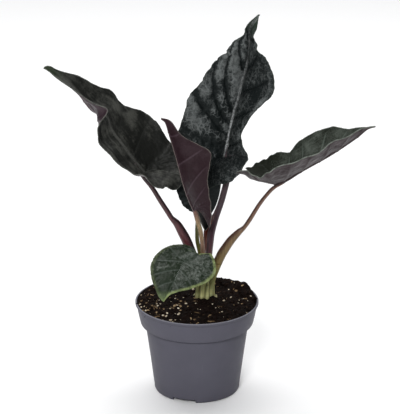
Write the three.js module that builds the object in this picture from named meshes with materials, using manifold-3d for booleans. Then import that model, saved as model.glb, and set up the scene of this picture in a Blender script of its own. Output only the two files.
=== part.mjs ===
// A potted alocasia with dark velvety leaves: a round nursery pot filled with potting soil, and one
// young plant with five open leaves and a rolled new shoot. Millimetres, +Z up. The origin is the
// centre of the pot's underside, and the plant is seen from the front when looking along +Y.
import * as THREE from 'three';
import { mergeVertices } from 'three/addons/utils/BufferGeometryUtils.js';
import Module from 'manifold-3d';

const wasm = await Module();
wasm.setup();

// Driving dimensions of the pot and soil
const RIM_RADIUS = 60;
const POT_HEIGHT = 91.5;
const LIP_HEIGHT = 2.6;
const LIP_DEPTH = 1.2;
const LIP_ROUNDING = 0.6;
const COLLAR_BOTTOM = 69.8;
const COLLAR_RADIUS = 55;
const COLLAR_STEP_RADIUS = 50.5;
const BASE_RADIUS = 42;
const BASE_ROUNDING = 2.4;
const WALL = 1.2;
const FLOOR = 1.6;
const POT_SIDES = 48;
const CHANNEL_COUNT = 3;
const CHANNEL_WIDTH = 23;
const CHANNEL_HEIGHT = 3.8;
const CHANNEL_INNER_RADIUS = 18;
const CHANNEL_TURN = -108;
const DRAIN_HOLE_RADIUS = 4;
const DRAIN_HOLE_PLACE = 30;
const DRUM_SIDES = 28;
const GAP = 0.3;
const SOIL_EDGE_HEIGHT = 88.3;
const SOIL_HEAPS = [
  { x: 8, y: 6, rise: 5.5, reach: 24 }, { x: 27, y: 43, rise: 6, reach: 11 },
  { x: 44, y: 26, rise: 6.5, reach: 11 }, { x: -38, y: 26, rise: 2.5, reach: 18 },
];
const SOIL_LUMP = 1.3;
const LUMP_WAVE = 20;
const CLOD_WAVE = 8;
const SOIL_RINGS = 9;

// Driving dimensions of the plant
const CROWN = new THREE.Vector2(8, 8);
const CROWN_STUB_RADIUS = 10.6;
const CROWN_STUB_BOTTOM = 80;
const CROWN_STUB_TOP = 92.5;
const CROWN_TOP = 132;
const BLADE_THICKNESS = 0.9;
const RIB_DEPTH = 1.6;
const FULL_RELIEF_WIDTH = 25;
const COLUMNS = [0, 0.06, 0.26, 0.46, 0.66, 0.84, 1];
const STEM_STEPS = 20;
const SHEATH_LIP_ANGLE = 40;
const CHANNEL_SHARE = 0.52;
const SEAT_CLEARANCE = 0.4;

// Leaf blades. The rib runs from the petiole to the leaf's tip. Each side has three rows of points: the
// sinus edge of its lobe, from the lobe's tip to the petiole (sinus), the outer edge of that lobe (lobe)
// and the outer edge of the blade beside the rib, up to the tip (edge). camber lifts the middle of a side
// by a share of its width, ripple waves its edge that many mm in so many ripples, and quilt is how far
// the blade swells between its side veins, which sweep forward by a share of the rib's length.
const BLADES = {
  blade_tall: {
    rib: [[27, 31, 228], [31, 32, 247], [35, 35, 267], [40, 38, 285], [44, 39, 303], [48, 38, 319],
      [50, 35, 338], [50, 33, 350], [53, 30, 361], [58.5, 26.5, 370.5]],
    left: {
      sinus: [[12, 19, 171], [17.5, 20, 180], [21.5, 21.5, 192], [23.5, 23, 206], [23.5, 25.5, 218]],
      lobe: [[11, 19, 170], [2, 18, 174], [-9, 18, 179], [-17, 19, 188], [-20, 20, 204]],
      edge: [[-28, 20, 222], [-21, 22, 245], [-14.5, 22, 268.5], [-9, 23, 287], [1.5, 24, 303],
        [12.5, 25, 320], [24, 26, 331], [32, 28, 341.5], [43.5, 29, 349.5], [45.5, 29, 356.5],
        [51, 28, 364.5], [58.5, 26.5, 371]],
      camber: 0.05, ripple: 1.6, ripples: 5.5,
    },
    right: {
      sinus: [[11, 14, 202], [13, 18, 210], [15, 22, 219], [18, 25, 223], [22, 28, 225]],
      lobe: [[11.5, 13, 201.5], [22, 10, 207], [30.5, 8, 209.5], [38.5, 8, 216], [44.5, 9, 224.5]],
      edge: [[49, 11, 235.5], [44.5, 15, 246.5], [43, 18, 256.5], [52, 16, 272], [63.5, 12, 287],
        [72, 9, 300], [73, 9, 315.5], [65.5, 13, 331.5], [57.5, 19, 337.5], [58, 21, 343],
        [53.5, 25, 348.5], [57, 27, 357.5], [59, 26.5, 371]],
      camber: 0.06, ripple: 1.2, ripples: 4.5,
    },
    rows: [7, 26], seat: 0, veins: 6, sweep: 0.3, quilt: 1.2, colour: 0x1b211f,
  },
  blade_left: {
    rib: [[-50, 2, 222], [-62, -3, 239], [-72, -8, 256], [-80, -11, 269], [-83, -12, 282], [-91, -15, 293],
      [-109, -17, 306], [-121, -20, 321], [-131, -23, 331], [-141, -26.5, 334]],
    left: {
      sinus: [[-15, -13, 216], [-15, -10, 223], [-24, -7, 225], [-35, -3, 226], [-44, 0, 225]],
      lobe: [[-14.5, -14, 216], [-20, -18, 212], [-26, -22, 214], [-30, -25, 218], [-32.5, -27, 215.5],
        [-42, -31, 222.5], [-52, -33, 232]],
      edge: [[-61, -36, 235.5], [-70, -39, 243], [-80, -42, 256], [-89.5, -43, 266],
        [-89, -43, 278], [-89, -41, 286], [-83, -36, 297], [-98, -34, 305], [-125, -27, 321],
        [-135, -27, 330], [-141, -27, 334]],
      camber: -0.08, ripple: 1.2, ripples: 4,
    },
    right: {
      sinus: [[-7, 3, 211], [-12, 3, 212], [-20, 4, 213], [-30, 5, 217], [-41, 4, 220]],
      lobe: [[-6, 3, 212], [-3, 7, 217], [-4, 9, 226], [-9, 11, 237], [-18, 14, 243]],
      edge: [[-27.5, 18, 249.5], [-39.5, 21, 267.5], [-49, 21, 276], [-62.5, 17, 281.5],
        [-72.5, 12, 290], [-81.5, 6, 302], [-93.5, -1, 309.5], [-109.5, -11, 321.5],
        [-125.5, -20, 329], [-135.5, -26, 335.5], [-141, -26, 334.5]],
      camber: -0.05, ripple: 1.1, ripples: 4.5,
    },
    rows: [7, 24], seat: 0, veins: 6, sweep: 0.28, quilt: 0.8, colour: 0x2a2d28,
  },
  blade_rolled: {
    rib: [[-2, -18, 192], [-6, -19, 201], [-12, -20, 219], [-17, -21, 239], [-22, -21, 257], [-26, -20, 271],
      [-29, -19, 279], [-33, -18, 282]],
    left: {
      sinus: [[11.5, -27, 177.5], [9.5, -26, 182.5], [6, -24, 188.5], [2.5, -21, 191.5]],
      lobe: [[12, -28, 177.5], [13.2, -32, 184.5], [13.7, -35, 194], [12.7, -37, 205]],
      edge: [[11.2, -39, 218], [9.6, -40, 229], [12.5, -41, 245], [12, -39, 256.5], [1, -35, 263],
        [-14, -29, 269], [-24, -22, 281], [-33, -18, 283]],
      camber: -0.12, ripple: 0.6, ripples: 3,
    },
    right: {
      sinus: [[7.5, -10, 168], [5, -12, 174], [3, -14, 180.5], [1, -16, 188]],
      lobe: [[9, -9, 167.5], [12, -2, 172], [12, 2, 181], [11, 4, 190]],
      edge: [[9, 6, 200], [7, 7, 212], [7, 7, 225], [4, 5, 238], [-6, 0, 249], [-18, -9, 263],
        [-25, -16, 278], [-33, -18, 282]],
      camber: -0.1, ripple: 0.6, ripples: 3,
    },
    rows: [6, 20], seat: 0, veins: 5, sweep: 0.25, quilt: 0.6, colour: 0x43313a,
  },
  blade_right: {
    rib: [[74, 0, 211], [85, -1, 216], [98, -2, 225], [111, -3, 233], [124, -4, 241], [137, -5, 250],
      [151, -7, 261], [160, -8, 269], [168, -10, 272]],
    left: {
      sinus: [[47, 22, 219], [51, 12, 218], [56, 6, 216], [64, 3, 213], [70, 1, 212]],
      lobe: [[47, 22, 220], [53, 26, 219.5], [59, 30, 223], [65, 33, 224], [70.5, 35, 227]],
      edge: [[77, 37, 230], [87, 38, 229.5], [92, 38, 233.5], [101.5, 37, 243], [114.5, 33, 253.5],
        [130, 24, 260], [142.5, 10, 263.5], [153.5, -2, 268.5], [163.5, -8, 271], [168, -9, 272]],
      camber: -0.06, ripple: 1.0, ripples: 4,
    },
    right: {
      sinus: [[37, -11, 226], [45, -9, 224], [51, -7, 219], [59, -4, 216], [67, -2, 213]],
      lobe: [[37, -12, 227], [43, -20, 232], [50, -27, 232], [57, -32, 229], [64, -34, 233]],
      edge: [[71, -35, 238], [84, -34, 243], [97, -32, 247], [111, -29, 251], [123, -26, 260],
        [136, -22, 264], [150, -15, 269.5], [159, -11, 271.5], [168, -10, 273]],
      camber: -0.06, ripple: 0.8, ripples: 4,
    },
    rows: [7, 24], seat: 0, veins: 6, sweep: 0.28, quilt: 0.9, colour: 0x2c352f,
  },
  blade_small: {
    rib: [[1, -12, 144], [-5, -16, 142], [-12, -19, 139], [-16, -22, 133], [-20, -25, 126], [-24, -28, 118],
      [-28, -31, 111], [-32, -33, 104]],
    left: {
      sinus: [[12, -12, 145], [8, -12, 145], [4, -12, 145]],
      lobe: [[13, -12, 145], [15, -13, 143], [17, -14, 139]],
      edge: [[18, -16, 134], [18, -18, 128], [14, -21, 122], [6, -24, 118], [-5, -26, 114], [-16, -30, 111],
        [-25, -32, 108], [-32, -34, 104]],
      camber: 0.08, ripple: 0.8, ripples: 3.5,
    },
    right: {
      sinus: [[-6, -10, 151], [-3, -10, 149], [-1, -12, 147]],
      lobe: [[-7, -10, 152], [-10, -9, 152], [-14, -9, 153]],
      edge: [[-21, -10, 153], [-30, -12, 151], [-40, -16, 144], [-44, -20, 136], [-44, -24, 127],
        [-41, -28, 118], [-37, -31, 109], [-33, -33, 104]],
      camber: 0.08, ripple: 0.8, ripples: 3.5,
    },
    rows: [4, 14], seat: 2, veins: 4, sweep: 0.2, quilt: 0.8, colour: 0x3c4f48,
  },
};

// Petioles and the new shoot, from the top down into the crown. Each point is x, y, z, the half width
// there and how far the sheath is open, from 0 for a full round stem to 1 for an open channel. A petiole
// starts at its blade, with half width top; open is the direction that its sheath opens to.
const STEMS = {
  petiole_tall: {
    path: [[29, 28, 208, 2.8, 0], [25.8, 26.5, 192, 2.8, 0], [22.4, 26, 180, 3, 0],
      [18.9, 25.5, 170.5, 3.4, 0.1], [15.2, 24, 162, 4.6, 0.5], [12.2, 21.5, 154.5, 5.6, 0.8],
      [11.6, 19, 147, 5, 0.6], [10.2, 15.5, 130, 4.6, 0.1], [9, 12, 104, 5, 0], [9, 10, 87, 5, 0]],
    open: [-0.8, -0.6, 0], blade: 'blade_tall', top: 2.2, colour: 0x4a3542,
  },
  petiole_left: {
    path: [[-42.8, 2, 207, 2.2, 0], [-35.2, 2, 194, 2.35, 0], [-28.5, 2, 183, 2.45, 0],
      [-24.2, 2, 176, 2.6, 0.1], [-18.5, 2, 169.5, 3.9, 0.7], [-13.8, 2, 161, 4.7, 1],
      [-9.8, 2, 153, 5, 0.9], [-5.5, 2, 142, 5, 0.3], [1, 3, 124, 5.1, 0], [4.5, 5, 104, 5.2, 0],
      [5, 6, 87, 5.2, 0]],
    open: [0.9, 0, 0.4], blade: 'blade_left', top: 2, colour: 0x5a3a44,
  },
  petiole_rolled: {
    path: [[0.2, -14, 181, 2.2, 0], [3.4, -10, 167, 2.2, 0], [5.2, -6, 153, 2.1, 0],
      [6, -3, 139, 2.5, 0], [7.5, 0, 123, 3.4, 0], [8, 2, 107, 4.2, 0], [9, 3, 88, 4.6, 0]],
    open: [0, 1, 0], blade: 'blade_rolled', top: 2, colour: 0x8a6a5a,
  },
  petiole_right: {
    path: [[65.8, 1, 198.7, 1.8, 0], [60, 2, 190.2, 1.9, 0], [55.2, 2, 182, 2, 0],
      [50.4, 3, 173.2, 2.1, 0], [45.2, 3.5, 165.5, 2.2, 0.2], [39.9, 3.5, 160.5, 3.2, 0.8],
      [32.7, 4.5, 152, 4.2, 1], [27.4, 5, 143.8, 4.6, 0.8], [22.6, 5, 135.4, 4.9, 0.2],
      [17.9, 6, 122.9, 4.6, 0], [13.5, 7, 108, 4.6, 0], [11.5, 8, 87, 4.8, 0]],
    open: [-0.8, 0, 0.6], blade: 'blade_right', top: 1.7, colour: 0x7d6548,
  },
  petiole_small: {
    path: [[-9, -14, 140, 1.7, 0], [-5, -9, 140, 1.8, 0], [-2, -6, 134, 2, 0],
      [0.5, -3, 124, 2.6, 0], [4, 0, 109, 3.6, 0], [7, 2, 88, 4, 0]],
    open: [0, 1, 0], blade: 'blade_small', top: 1.6, colour: 0x8f9a5a,
  },
  new_shoot: {
    path: [[-1, 8, 184, 0.6, 0], [0, 8.5, 172, 1.3, 0], [0, 9, 160, 1.8, 0], [0.5, 9, 149, 2, 0],
      [3, 9, 137, 2.2, 0], [5, 8.5, 122, 2.6, 0], [7, 7, 106, 3, 0], [8, 7, 88, 3, 0]],
    open: [0, 1, 0], colour: 0x6f7a38,
  },
};

function vector(point) {
  return new THREE.Vector3(point[0], point[1], point[2]);
}

// A smooth curve through evenly numbered points: at(n) is its nth point, and at(n + 0.5) lies half way on.
function through(points) {
  const curve = new THREE.CatmullRomCurve3(points, false, 'catmullrom', 0.5);
  const last = points.length - 1;
  return (n) => curve.getPoint(Math.min(n / last, 1));
}

// One half of a blade as rows of points, each from the rib side to the outer edge. A row is along < 0 in the
// lobe, and along goes from 0 at the petiole to 1 at the tip of the leaf.
function halfRows(side, mirror, leaf) {
  const [lobeRows, bladeRows] = leaf.rows;
  const sinusAt = through([...side.sinus, leaf.rib[0]].map(vector));
  const ribAt = through(leaf.rib.map(vector));
  const edgeAt = through([...side.lobe, ...side.edge].map(vector));
  const rows = [];
  for (let i = 0; i < lobeRows; i += 1) {
    const part = i / lobeRows;
    const inner = sinusAt(part * side.sinus.length);
    rows.push({ along: part - 1, inner, outer: edgeAt(part * side.lobe.length) });
  }
  for (let i = 0; i <= bladeRows; i += 1) {
    const part = i / bladeRows;
    const inner = ribAt(part * (leaf.rib.length - 1));
    rows.push({ along: part, inner, outer: edgeAt(side.lobe.length + part * (side.edge.length - 1)) });
  }
  return rows.map((row, i) => {
    const before = rows[Math.max(i - 1, 0)];
    const after = rows[Math.min(i + 1, rows.length - 1)];
    return rowPoints(row, before, after, side, mirror, leaf);
  });
}

// The points of one row, lifted off the straight line between rib and edge by the camber of the half, the
// quilting between its side veins and the ripple of its edge.
function rowPoints(row, before, after, side, mirror, leaf) {
  const forward = after.inner.clone().add(after.outer).sub(before.inner).sub(before.outer).normalize();
  const across = row.outer.clone().sub(row.inner);
  const width = across.length();
  const up = forward.cross(across).normalize().multiplyScalar(mirror);
  const narrowing = Math.min(1, width / FULL_RELIEF_WIDTH);
  const turn = THREE.MathUtils.clamp(row.along * 5, -1, 1);
  return COLUMNS.map((out) => {
    const swell = Math.abs(Math.sin(Math.PI * leaf.veins * (row.along - turn * leaf.sweep * out))) - 0.5;
    const quilt = leaf.quilt * swell * Math.sin(Math.PI * out);
    const ripple = side.ripple * out ** 3 * Math.sin(2 * Math.PI * side.ripples * row.along);
    const lift = side.camber * width * 4 * out * (1 - out) + (quilt + ripple) * narrowing;
    const point = row.inner.clone().addScaledVector(across, out).addScaledVector(up, lift);
    const ribbed = out === 0 && row.along >= 0;
    return { point, depth: ribbed ? RIB_DEPTH * (1 - row.along) : 0 };
  });
}

// The skin of a blade: its two halves as quads that share the rib, split alike everywhere. depths says how
// far the rib stands out of the lower side at each point, and seat is the point over the petiole's end.
function bladeSkin(leaf) {
  const points = [];
  const depths = [];
  const triangles = [];
  const places = new Map();
  const place = ({ point, depth }) => {
    const key = point.toArray().map((value) => value.toFixed(3)).join(' ');
    if (!places.has(key)) {
      places.set(key, points.length);
      points.push(point);
      depths.push(depth);
    }
    return places.get(key);
  };
  const left = halfRows(leaf.left, 1, leaf).map((row) => row.map(place));
  const right = halfRows(leaf.right, -1, leaf).map((row) => row.map(place));
  for (const [rows, mirror] of [[left, 1], [right, -1]]) {
    for (let i = 0; i + 1 < rows.length; i += 1) {
      for (let j = 0; j + 1 < COLUMNS.length; j += 1) {
        const [a, b, c, d] = [rows[i][j], rows[i][j + 1], rows[i + 1][j + 1], rows[i + 1][j]];
        triangles.push(...(mirror > 0 ? [[a, c, b], [a, d, c]] : [[a, b, c], [a, c, d]]));
      }
    }
  }
  const [lobeRows, bladeRows] = leaf.rows;
  const seatRow = lobeRows + Math.round((leaf.seat / (leaf.rib.length - 1)) * bladeRows);
  return { points, depths, triangles, seat: left[seatRow][0] };
}

// The normal at each point of a skin, towards the upper side of the blade.
function skinNormals({ points, triangles }) {
  const normals = points.map(() => new THREE.Vector3());
  for (const [a, b, c] of triangles) {
    const side = points[b].clone().sub(points[a]);
    const face = side.cross(points[c].clone().sub(points[a]));
    for (const corner of [a, b, c]) normals[corner].add(face);
  }
  return normals.map((normal) => normal.normalize());
}

// A closed solid from a skin: its upper side, its lower side with the rib, and a wall along every open edge.
// spare is added all round, for cutting clearance into what meets the blade.
function thicken(skin, spare = 0) {
  const normals = skinNormals(skin);
  const half = BLADE_THICKNESS / 2 + spare;
  const count = skin.points.length;
  const upper = skin.points.map((p, i) => p.clone().addScaledVector(normals[i], half));
  const lower = skin.points.map((p, i) => p.clone().addScaledVector(normals[i], -half - skin.depths[i]));
  const triangles = [];
  const openEdges = new Map();
  for (const [a, b, c] of skin.triangles) {
    triangles.push([a, b, c], [a + count, c + count, b + count]);
    for (const [p, q] of [[a, b], [b, c], [c, a]]) {
      if (!openEdges.delete(`${q} ${p}`)) openEdges.set(`${p} ${q}`, [p, q]);
    }
  }
  for (const [p, q] of openEdges.values()) triangles.push([p, p + count, q + count], [p, q + count, q]);
  return solid([...upper, ...lower], triangles);
}

// Solids for joining and cutting, from points and triangles or from a closed three.js geometry, and back.
function solid(points, triangles) {
  const vertProperties = new Float32Array(points.flatMap((p) => p.toArray()));
  const triVerts = new Uint32Array(triangles.flat());
  return new wasm.Manifold(new wasm.Mesh({ numProp: 3, vertProperties, triVerts }));
}

function solidOf(geometry) {
  const bare = geometry.clone();
  bare.deleteAttribute('normal');
  bare.deleteAttribute('uv');
  const merged = mergeVertices(bare, 1e-4);
  const { position } = merged.attributes;
  const points = Array.from({ length: position.count }, (_, i) => (
    new THREE.Vector3().fromBufferAttribute(position, i)
  ));
  const index = Array.from(merged.index.array);
  const triangles = [];
  for (let i = 0; i < index.length; i += 3) triangles.push(index.slice(i, i + 3));
  return solid(points, triangles.filter(([a, b, c]) => a !== b && b !== c && c !== a));
}

function geometryOf(manifold) {
  const mesh = manifold.getMesh();
  const position = new Float32Array(mesh.numVert * 3);
  for (let i = 0; i < mesh.numVert; i += 1) {
    for (let k = 0; k < 3; k += 1) position[i * 3 + k] = mesh.vertProperties[i * mesh.numProp + k];
  }
  const geometry = new THREE.BufferGeometry();
  geometry.setAttribute('position', new THREE.BufferAttribute(position, 3));
  geometry.setIndex(new THREE.BufferAttribute(new Uint32Array(mesh.triVerts), 1));
  geometry.computeVertexNormals();
  return geometry;
}

function largest(manifold) {
  return manifold.decompose().reduce((best, piece) => (piece.volume() > best.volume() ? piece : best));
}

// An upright round solid.
function drum(radius, bottom, top, x, y) {
  const geometry = new THREE.CylinderGeometry(radius, radius, top - bottom, DRUM_SIDES);
  geometry.rotateX(Math.PI / 2);
  geometry.translate(x, y, (bottom + top) / 2);
  return solidOf(geometry);
}

// A turned solid from a profile of radius and height that starts and ends on the axis.
function turned(profile) {
  const geometry = new THREE.LatheGeometry(profile.map(([r, z]) => new THREE.Vector2(r, z)), POT_SIDES);
  geometry.rotateX(Math.PI / 2);
  return solidOf(geometry);
}

// The section of a stem: 9 points on the outer skin, from one lip of the sheath round to the other, and 5
// that lie on the round stem where the sheath is closed and in its channel where it is open.
function stemSection(halfWidth, open) {
  const lip = THREE.MathUtils.degToRad(SHEATH_LIP_ANGLE);
  const section = [];
  for (let i = 0; i <= 8; i += 1) {
    const angle = lip + (i / 8) * 2 * (Math.PI - lip);
    section.push(new THREE.Vector2(Math.sin(angle), Math.cos(angle)));
  }
  for (let i = 1; i <= 5; i += 1) {
    const closed = lip * ((i / 6) * 2 - 1);
    const channel = -lip - (i / 6) * 2 * (Math.PI - lip);
    const round = new THREE.Vector2(Math.sin(closed), Math.cos(closed));
    const hollow = new THREE.Vector2(Math.sin(channel), Math.cos(channel)).multiplyScalar(CHANNEL_SHARE);
    section.push(round.lerp(hollow, open));
  }
  return section.map((point) => point.multiplyScalar(halfWidth));
}

// The path of a stem. A petiole's starts just under the rib of its blade, a gap clear of the blade's skin.
function stemPath(stem) {
  if (!stem.blade) return stem.path;
  const skin = skins[stem.blade];
  const depth = stem.top + BLADE_THICKNESS / 2 + SEAT_CLEARANCE;
  const seat = skin.points[skin.seat].clone().addScaledVector(skinNormals(skin)[skin.seat], -depth);
  return [[...seat.toArray(), stem.top, 0], ...stem.path];
}

// A stem as a solid: its section carried along its path, with the open side of its sheath turned one way.
function stemSolid(stem) {
  const path = stemPath(stem);
  const at = through(path.map(vector));
  const sizeAt = through(path.map((p) => new THREE.Vector3(p[3], p[4], 0)));
  const last = path.length - 1;
  const sides = stemSection(1, 0).length;
  const points = [];
  const triangles = [];
  for (let i = 0; i <= STEM_STEPS; i += 1) {
    const n = (i / STEM_STEPS) * last;
    const forward = at(Math.min(n + 0.05, last)).sub(at(Math.max(n - 0.05, 0))).normalize();
    const opening = vector(stem.open);
    opening.addScaledVector(forward, -opening.dot(forward)).normalize();
    const lateral = forward.clone().cross(opening);
    const size = sizeAt(n);
    for (const p of stemSection(size.x, THREE.MathUtils.clamp(size.y, 0, 1))) {
      points.push(at(n).addScaledVector(lateral, p.x).addScaledVector(opening, p.y));
    }
    for (let k = 0; k < sides && i > 0; k += 1) {
      const next = (k + 1) % sides;
      const [a, b, c, d] = [(i - 1) * sides + k, (i - 1) * sides + next, i * sides + next, i * sides + k];
      triangles.push([a, b, c], [a, c, d]);
    }
  }
  triangles.push(...capOf(points, 0, sides).map(([a, b, c]) => [a, c, b]));
  triangles.push(...capOf(points, STEM_STEPS, sides));
  return solid(points, triangles);
}

// The flat end of a stem, as a fan round its middle.
function capOf(points, row, sides) {
  const first = row * sides;
  const middle = new THREE.Vector3();
  for (let k = 0; k < sides; k += 1) middle.addScaledVector(points[first + k], 1 / sides);
  points.push(middle);
  const fan = [];
  for (let k = 0; k < sides; k += 1) fan.push([first + k, first + ((k + 1) % sides), points.length - 1]);
  return fan;
}

// The outline of the outside of the pot, from the middle of its base up to the middle of its mouth.
const POT_OUTSIDE = [
  [0, 0], [BASE_RADIUS - BASE_ROUNDING, 0], [BASE_RADIUS - BASE_ROUNDING / 4, BASE_ROUNDING / 2],
  [BASE_RADIUS, 2 * BASE_ROUNDING], [COLLAR_STEP_RADIUS, COLLAR_BOTTOM], [COLLAR_RADIUS, COLLAR_BOTTOM],
  [RIM_RADIUS - LIP_DEPTH, POT_HEIGHT - LIP_HEIGHT - LIP_ROUNDING], [RIM_RADIUS, POT_HEIGHT - LIP_HEIGHT],
  [RIM_RADIUS, POT_HEIGHT - LIP_ROUNDING], [RIM_RADIUS - LIP_ROUNDING, POT_HEIGHT], [0, POT_HEIGHT],
];

// The outline of its cavity, which leaves a wall of even thickness, up past the brim of the pot.
const BRIM = [RIM_RADIUS - LIP_ROUNDING - WALL, POT_HEIGHT + 1];
const CAVITY_WALL = [
  [BASE_RADIUS - BASE_ROUNDING - WALL, FLOOR], [BASE_RADIUS - WALL, 2 * BASE_ROUNDING],
  [COLLAR_STEP_RADIUS - WALL, COLLAR_BOTTOM + WALL], [COLLAR_RADIUS - WALL, COLLAR_BOTTOM + WALL],
  [RIM_RADIUS - LIP_DEPTH - WALL, POT_HEIGHT - LIP_HEIGHT],
];
const POT_CAVITY = [[0, FLOOR], ...CAVITY_WALL, BRIM, [0, BRIM[1]]];

// The angles of the drainage channels round the pot's axis.
const CHANNEL_ANGLES = Array.from({ length: CHANNEL_COUNT }, (_, i) => (
  THREE.MathUtils.degToRad(CHANNEL_TURN + (360 / CHANNEL_COUNT) * i)
));

// The raised drainage channels under the pot, grown by spare all round.
function drainChannels(spare) {
  const reach = RIM_RADIUS - CHANNEL_INNER_RADIUS;
  return wasm.Manifold.union(CHANNEL_ANGLES.map((angle) => {
    const channel = new THREE.BoxGeometry(reach, CHANNEL_WIDTH + 2 * spare, 2 * (CHANNEL_HEIGHT + spare));
    channel.translate(CHANNEL_INNER_RADIUS - spare + reach / 2, 0, 0);
    channel.rotateZ(angle);
    return solidOf(channel);
  }));
}

function drainHoles() {
  return wasm.Manifold.union(CHANNEL_ANGLES.map((angle) => {
    const [x, y] = [Math.cos(angle) * DRAIN_HOLE_PLACE, Math.sin(angle) * DRAIN_HOLE_PLACE];
    return drum(DRAIN_HOLE_RADIUS, -1, CHANNEL_HEIGHT + 2 * FLOOR, x, y);
  }));
}

function potSolid() {
  const cavity = turned(POT_CAVITY).subtract(drainChannels(FLOOR));
  return turned(POT_OUTSIDE).subtract(drainChannels(0)).subtract(cavity).subtract(drainHoles());
}

// The top of the soil: heaped at the crown and along the back of the pot, and lumpy all over.
function soilHeight(x, y) {
  const heaps = SOIL_HEAPS.map((heap) => (
    heap.rise * Math.exp(-((x - heap.x) ** 2 + (y - heap.y) ** 2) / heap.reach ** 2)
  ));
  const [lumpX, lumpY] = [(2 * Math.PI * x) / LUMP_WAVE, (2 * Math.PI * y) / LUMP_WAVE];
  const [clodX, clodY] = [(2 * Math.PI * x) / CLOD_WAVE, (2 * Math.PI * y) / CLOD_WAVE];
  const lumps = Math.sin(lumpX + 2 * Math.sin(lumpY / 2)) * Math.cos(lumpY - Math.sin(lumpX / 2));
  const clods = Math.sin(clodX + 2 * Math.cos(clodY)) * Math.sin(clodY + 1);
  const heaped = heaps.reduce((sum, rise) => sum + rise, SOIL_EDGE_HEIGHT);
  return heaped + SOIL_LUMP * (0.65 * lumps + 0.35 * clods);
}

// The soil fills the pot's cavity a gap clear of it, with a plain hole where the crown stands.
function soilSolid() {
  const wall = CAVITY_WALL.map(([radius, z]) => ({ radius: radius - GAP, z: z + GAP / 2 }));
  const reach = wall.at(-1).radius;
  const top = Array.from({ length: SOIL_RINGS }, (_, i) => ({ radius: (reach * (i + 1)) / SOIL_RINGS }));
  const rings = [...top, ...wall.reverse()];
  const points = [new THREE.Vector3(0, 0, soilHeight(0, 0))];
  for (const ring of rings) {
    for (let k = 0; k < POT_SIDES; k += 1) {
      const angle = (k / POT_SIDES) * 2 * Math.PI;
      const [x, y] = [ring.radius * Math.cos(angle), ring.radius * Math.sin(angle)];
      points.push(new THREE.Vector3(x, y, ring.z ?? soilHeight(x, y)));
    }
  }
  points.push(new THREE.Vector3(0, 0, FLOOR + GAP / 2));
  const soil = solid(points, ringTriangles(rings.length, POT_SIDES));
  return soil.subtract(drainChannels(FLOOR + GAP)).subtract(crownHole());
}

// Triangles for a centre point, rings of points from the top down, and a last centre point.
function ringTriangles(rings, sides) {
  const triangles = [];
  const at = (ring, k) => 1 + ring * sides + (k % sides);
  for (let k = 0; k < sides; k += 1) {
    triangles.push([0, at(0, k), at(0, k + 1)]);
    for (let ring = 0; ring + 1 < rings; ring += 1) {
      const [a, b, c, d] = [at(ring, k), at(ring, k + 1), at(ring + 1, k + 1), at(ring + 1, k)];
      triangles.push([a, d, c], [a, c, b]);
    }
    triangles.push([at(rings - 1, k + 1), at(rings - 1, k), 1 + rings * sides]);
  }
  return triangles;
}

const skins = Object.fromEntries(Object.entries(BLADES).map(([name, leaf]) => [name, bladeSkin(leaf)]));
const stems = Object.fromEntries(Object.entries(STEMS).map(([name, stem]) => [name, stemSolid(stem)]));

// Above the crown each stem is a piece of its own, cut clear of the blade that it carries.
function standingStem(name) {
  const { blade } = STEMS[name];
  const above = stems[name].trimByPlane([0, 0, 1], CROWN_TOP + GAP);
  if (!blade) return above;
  const clearances = [0, GAP, 2 * GAP].map((spare) => thicken(skins[blade], spare));
  return largest(above.subtract(wasm.Manifold.union(clearances)));
}

// Below that height the stems' sheaths wrap each other, so they are one crown with the stub in the soil.
function crownSolid() {
  const bases = Object.values(stems).map((stem) => stem.trimByPlane([0, 0, -1], -CROWN_TOP));
  const stub = drum(CROWN_STUB_RADIUS, CROWN_STUB_BOTTOM, CROWN_STUB_TOP, CROWN.x, CROWN.y);
  return wasm.Manifold.union([...bases, stub]);
}

function crownHole() {
  return drum(CROWN_STUB_RADIUS + GAP, CROWN_STUB_BOTTOM - GAP, POT_HEIGHT * 2, CROWN.x, CROWN.y);
}

const plant = new THREE.Group();

function addPiece(name, manifold, colour, roughness) {
  const material = new THREE.MeshStandardMaterial({ color: colour, roughness, metalness: 0 });
  const mesh = new THREE.Mesh(geometryOf(manifold), material);
  mesh.name = name;
  plant.add(mesh);
}

addPiece('pot', potSolid(), 0x55555f, 0.55);
addPiece('soil', soilSolid(), 0x241a14, 0.95);
addPiece('crown', crownSolid(), 0xb4b878, 0.5);
for (const [name, stem] of Object.entries(STEMS)) addPiece(name, standingStem(name), stem.colour, 0.45);
for (const [name, leaf] of Object.entries(BLADES)) addPiece(name, thicken(skins[name]), leaf.colour, 0.5);

export default plant;
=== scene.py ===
# A potted alocasia: dark velvety leaves on sheathed stalks, in a round nursery pot filled with
# potting soil. Sizes and places are in millimetres, and MM turns them into Blender's metres.
import math
import random

import bpy
from mathutils import Matrix, Vector, noise


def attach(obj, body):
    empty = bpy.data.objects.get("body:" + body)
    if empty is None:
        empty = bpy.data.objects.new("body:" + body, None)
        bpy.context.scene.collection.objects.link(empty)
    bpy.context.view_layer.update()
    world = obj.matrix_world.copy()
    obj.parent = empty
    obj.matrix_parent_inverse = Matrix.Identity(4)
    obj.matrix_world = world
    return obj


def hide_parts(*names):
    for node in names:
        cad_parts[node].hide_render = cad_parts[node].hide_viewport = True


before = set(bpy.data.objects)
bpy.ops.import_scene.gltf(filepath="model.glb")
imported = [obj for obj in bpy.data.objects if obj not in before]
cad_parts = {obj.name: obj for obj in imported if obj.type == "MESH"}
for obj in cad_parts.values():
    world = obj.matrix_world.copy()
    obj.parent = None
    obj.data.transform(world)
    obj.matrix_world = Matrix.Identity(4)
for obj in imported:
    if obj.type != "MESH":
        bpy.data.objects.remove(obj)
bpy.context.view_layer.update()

MM = 0.001

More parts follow.
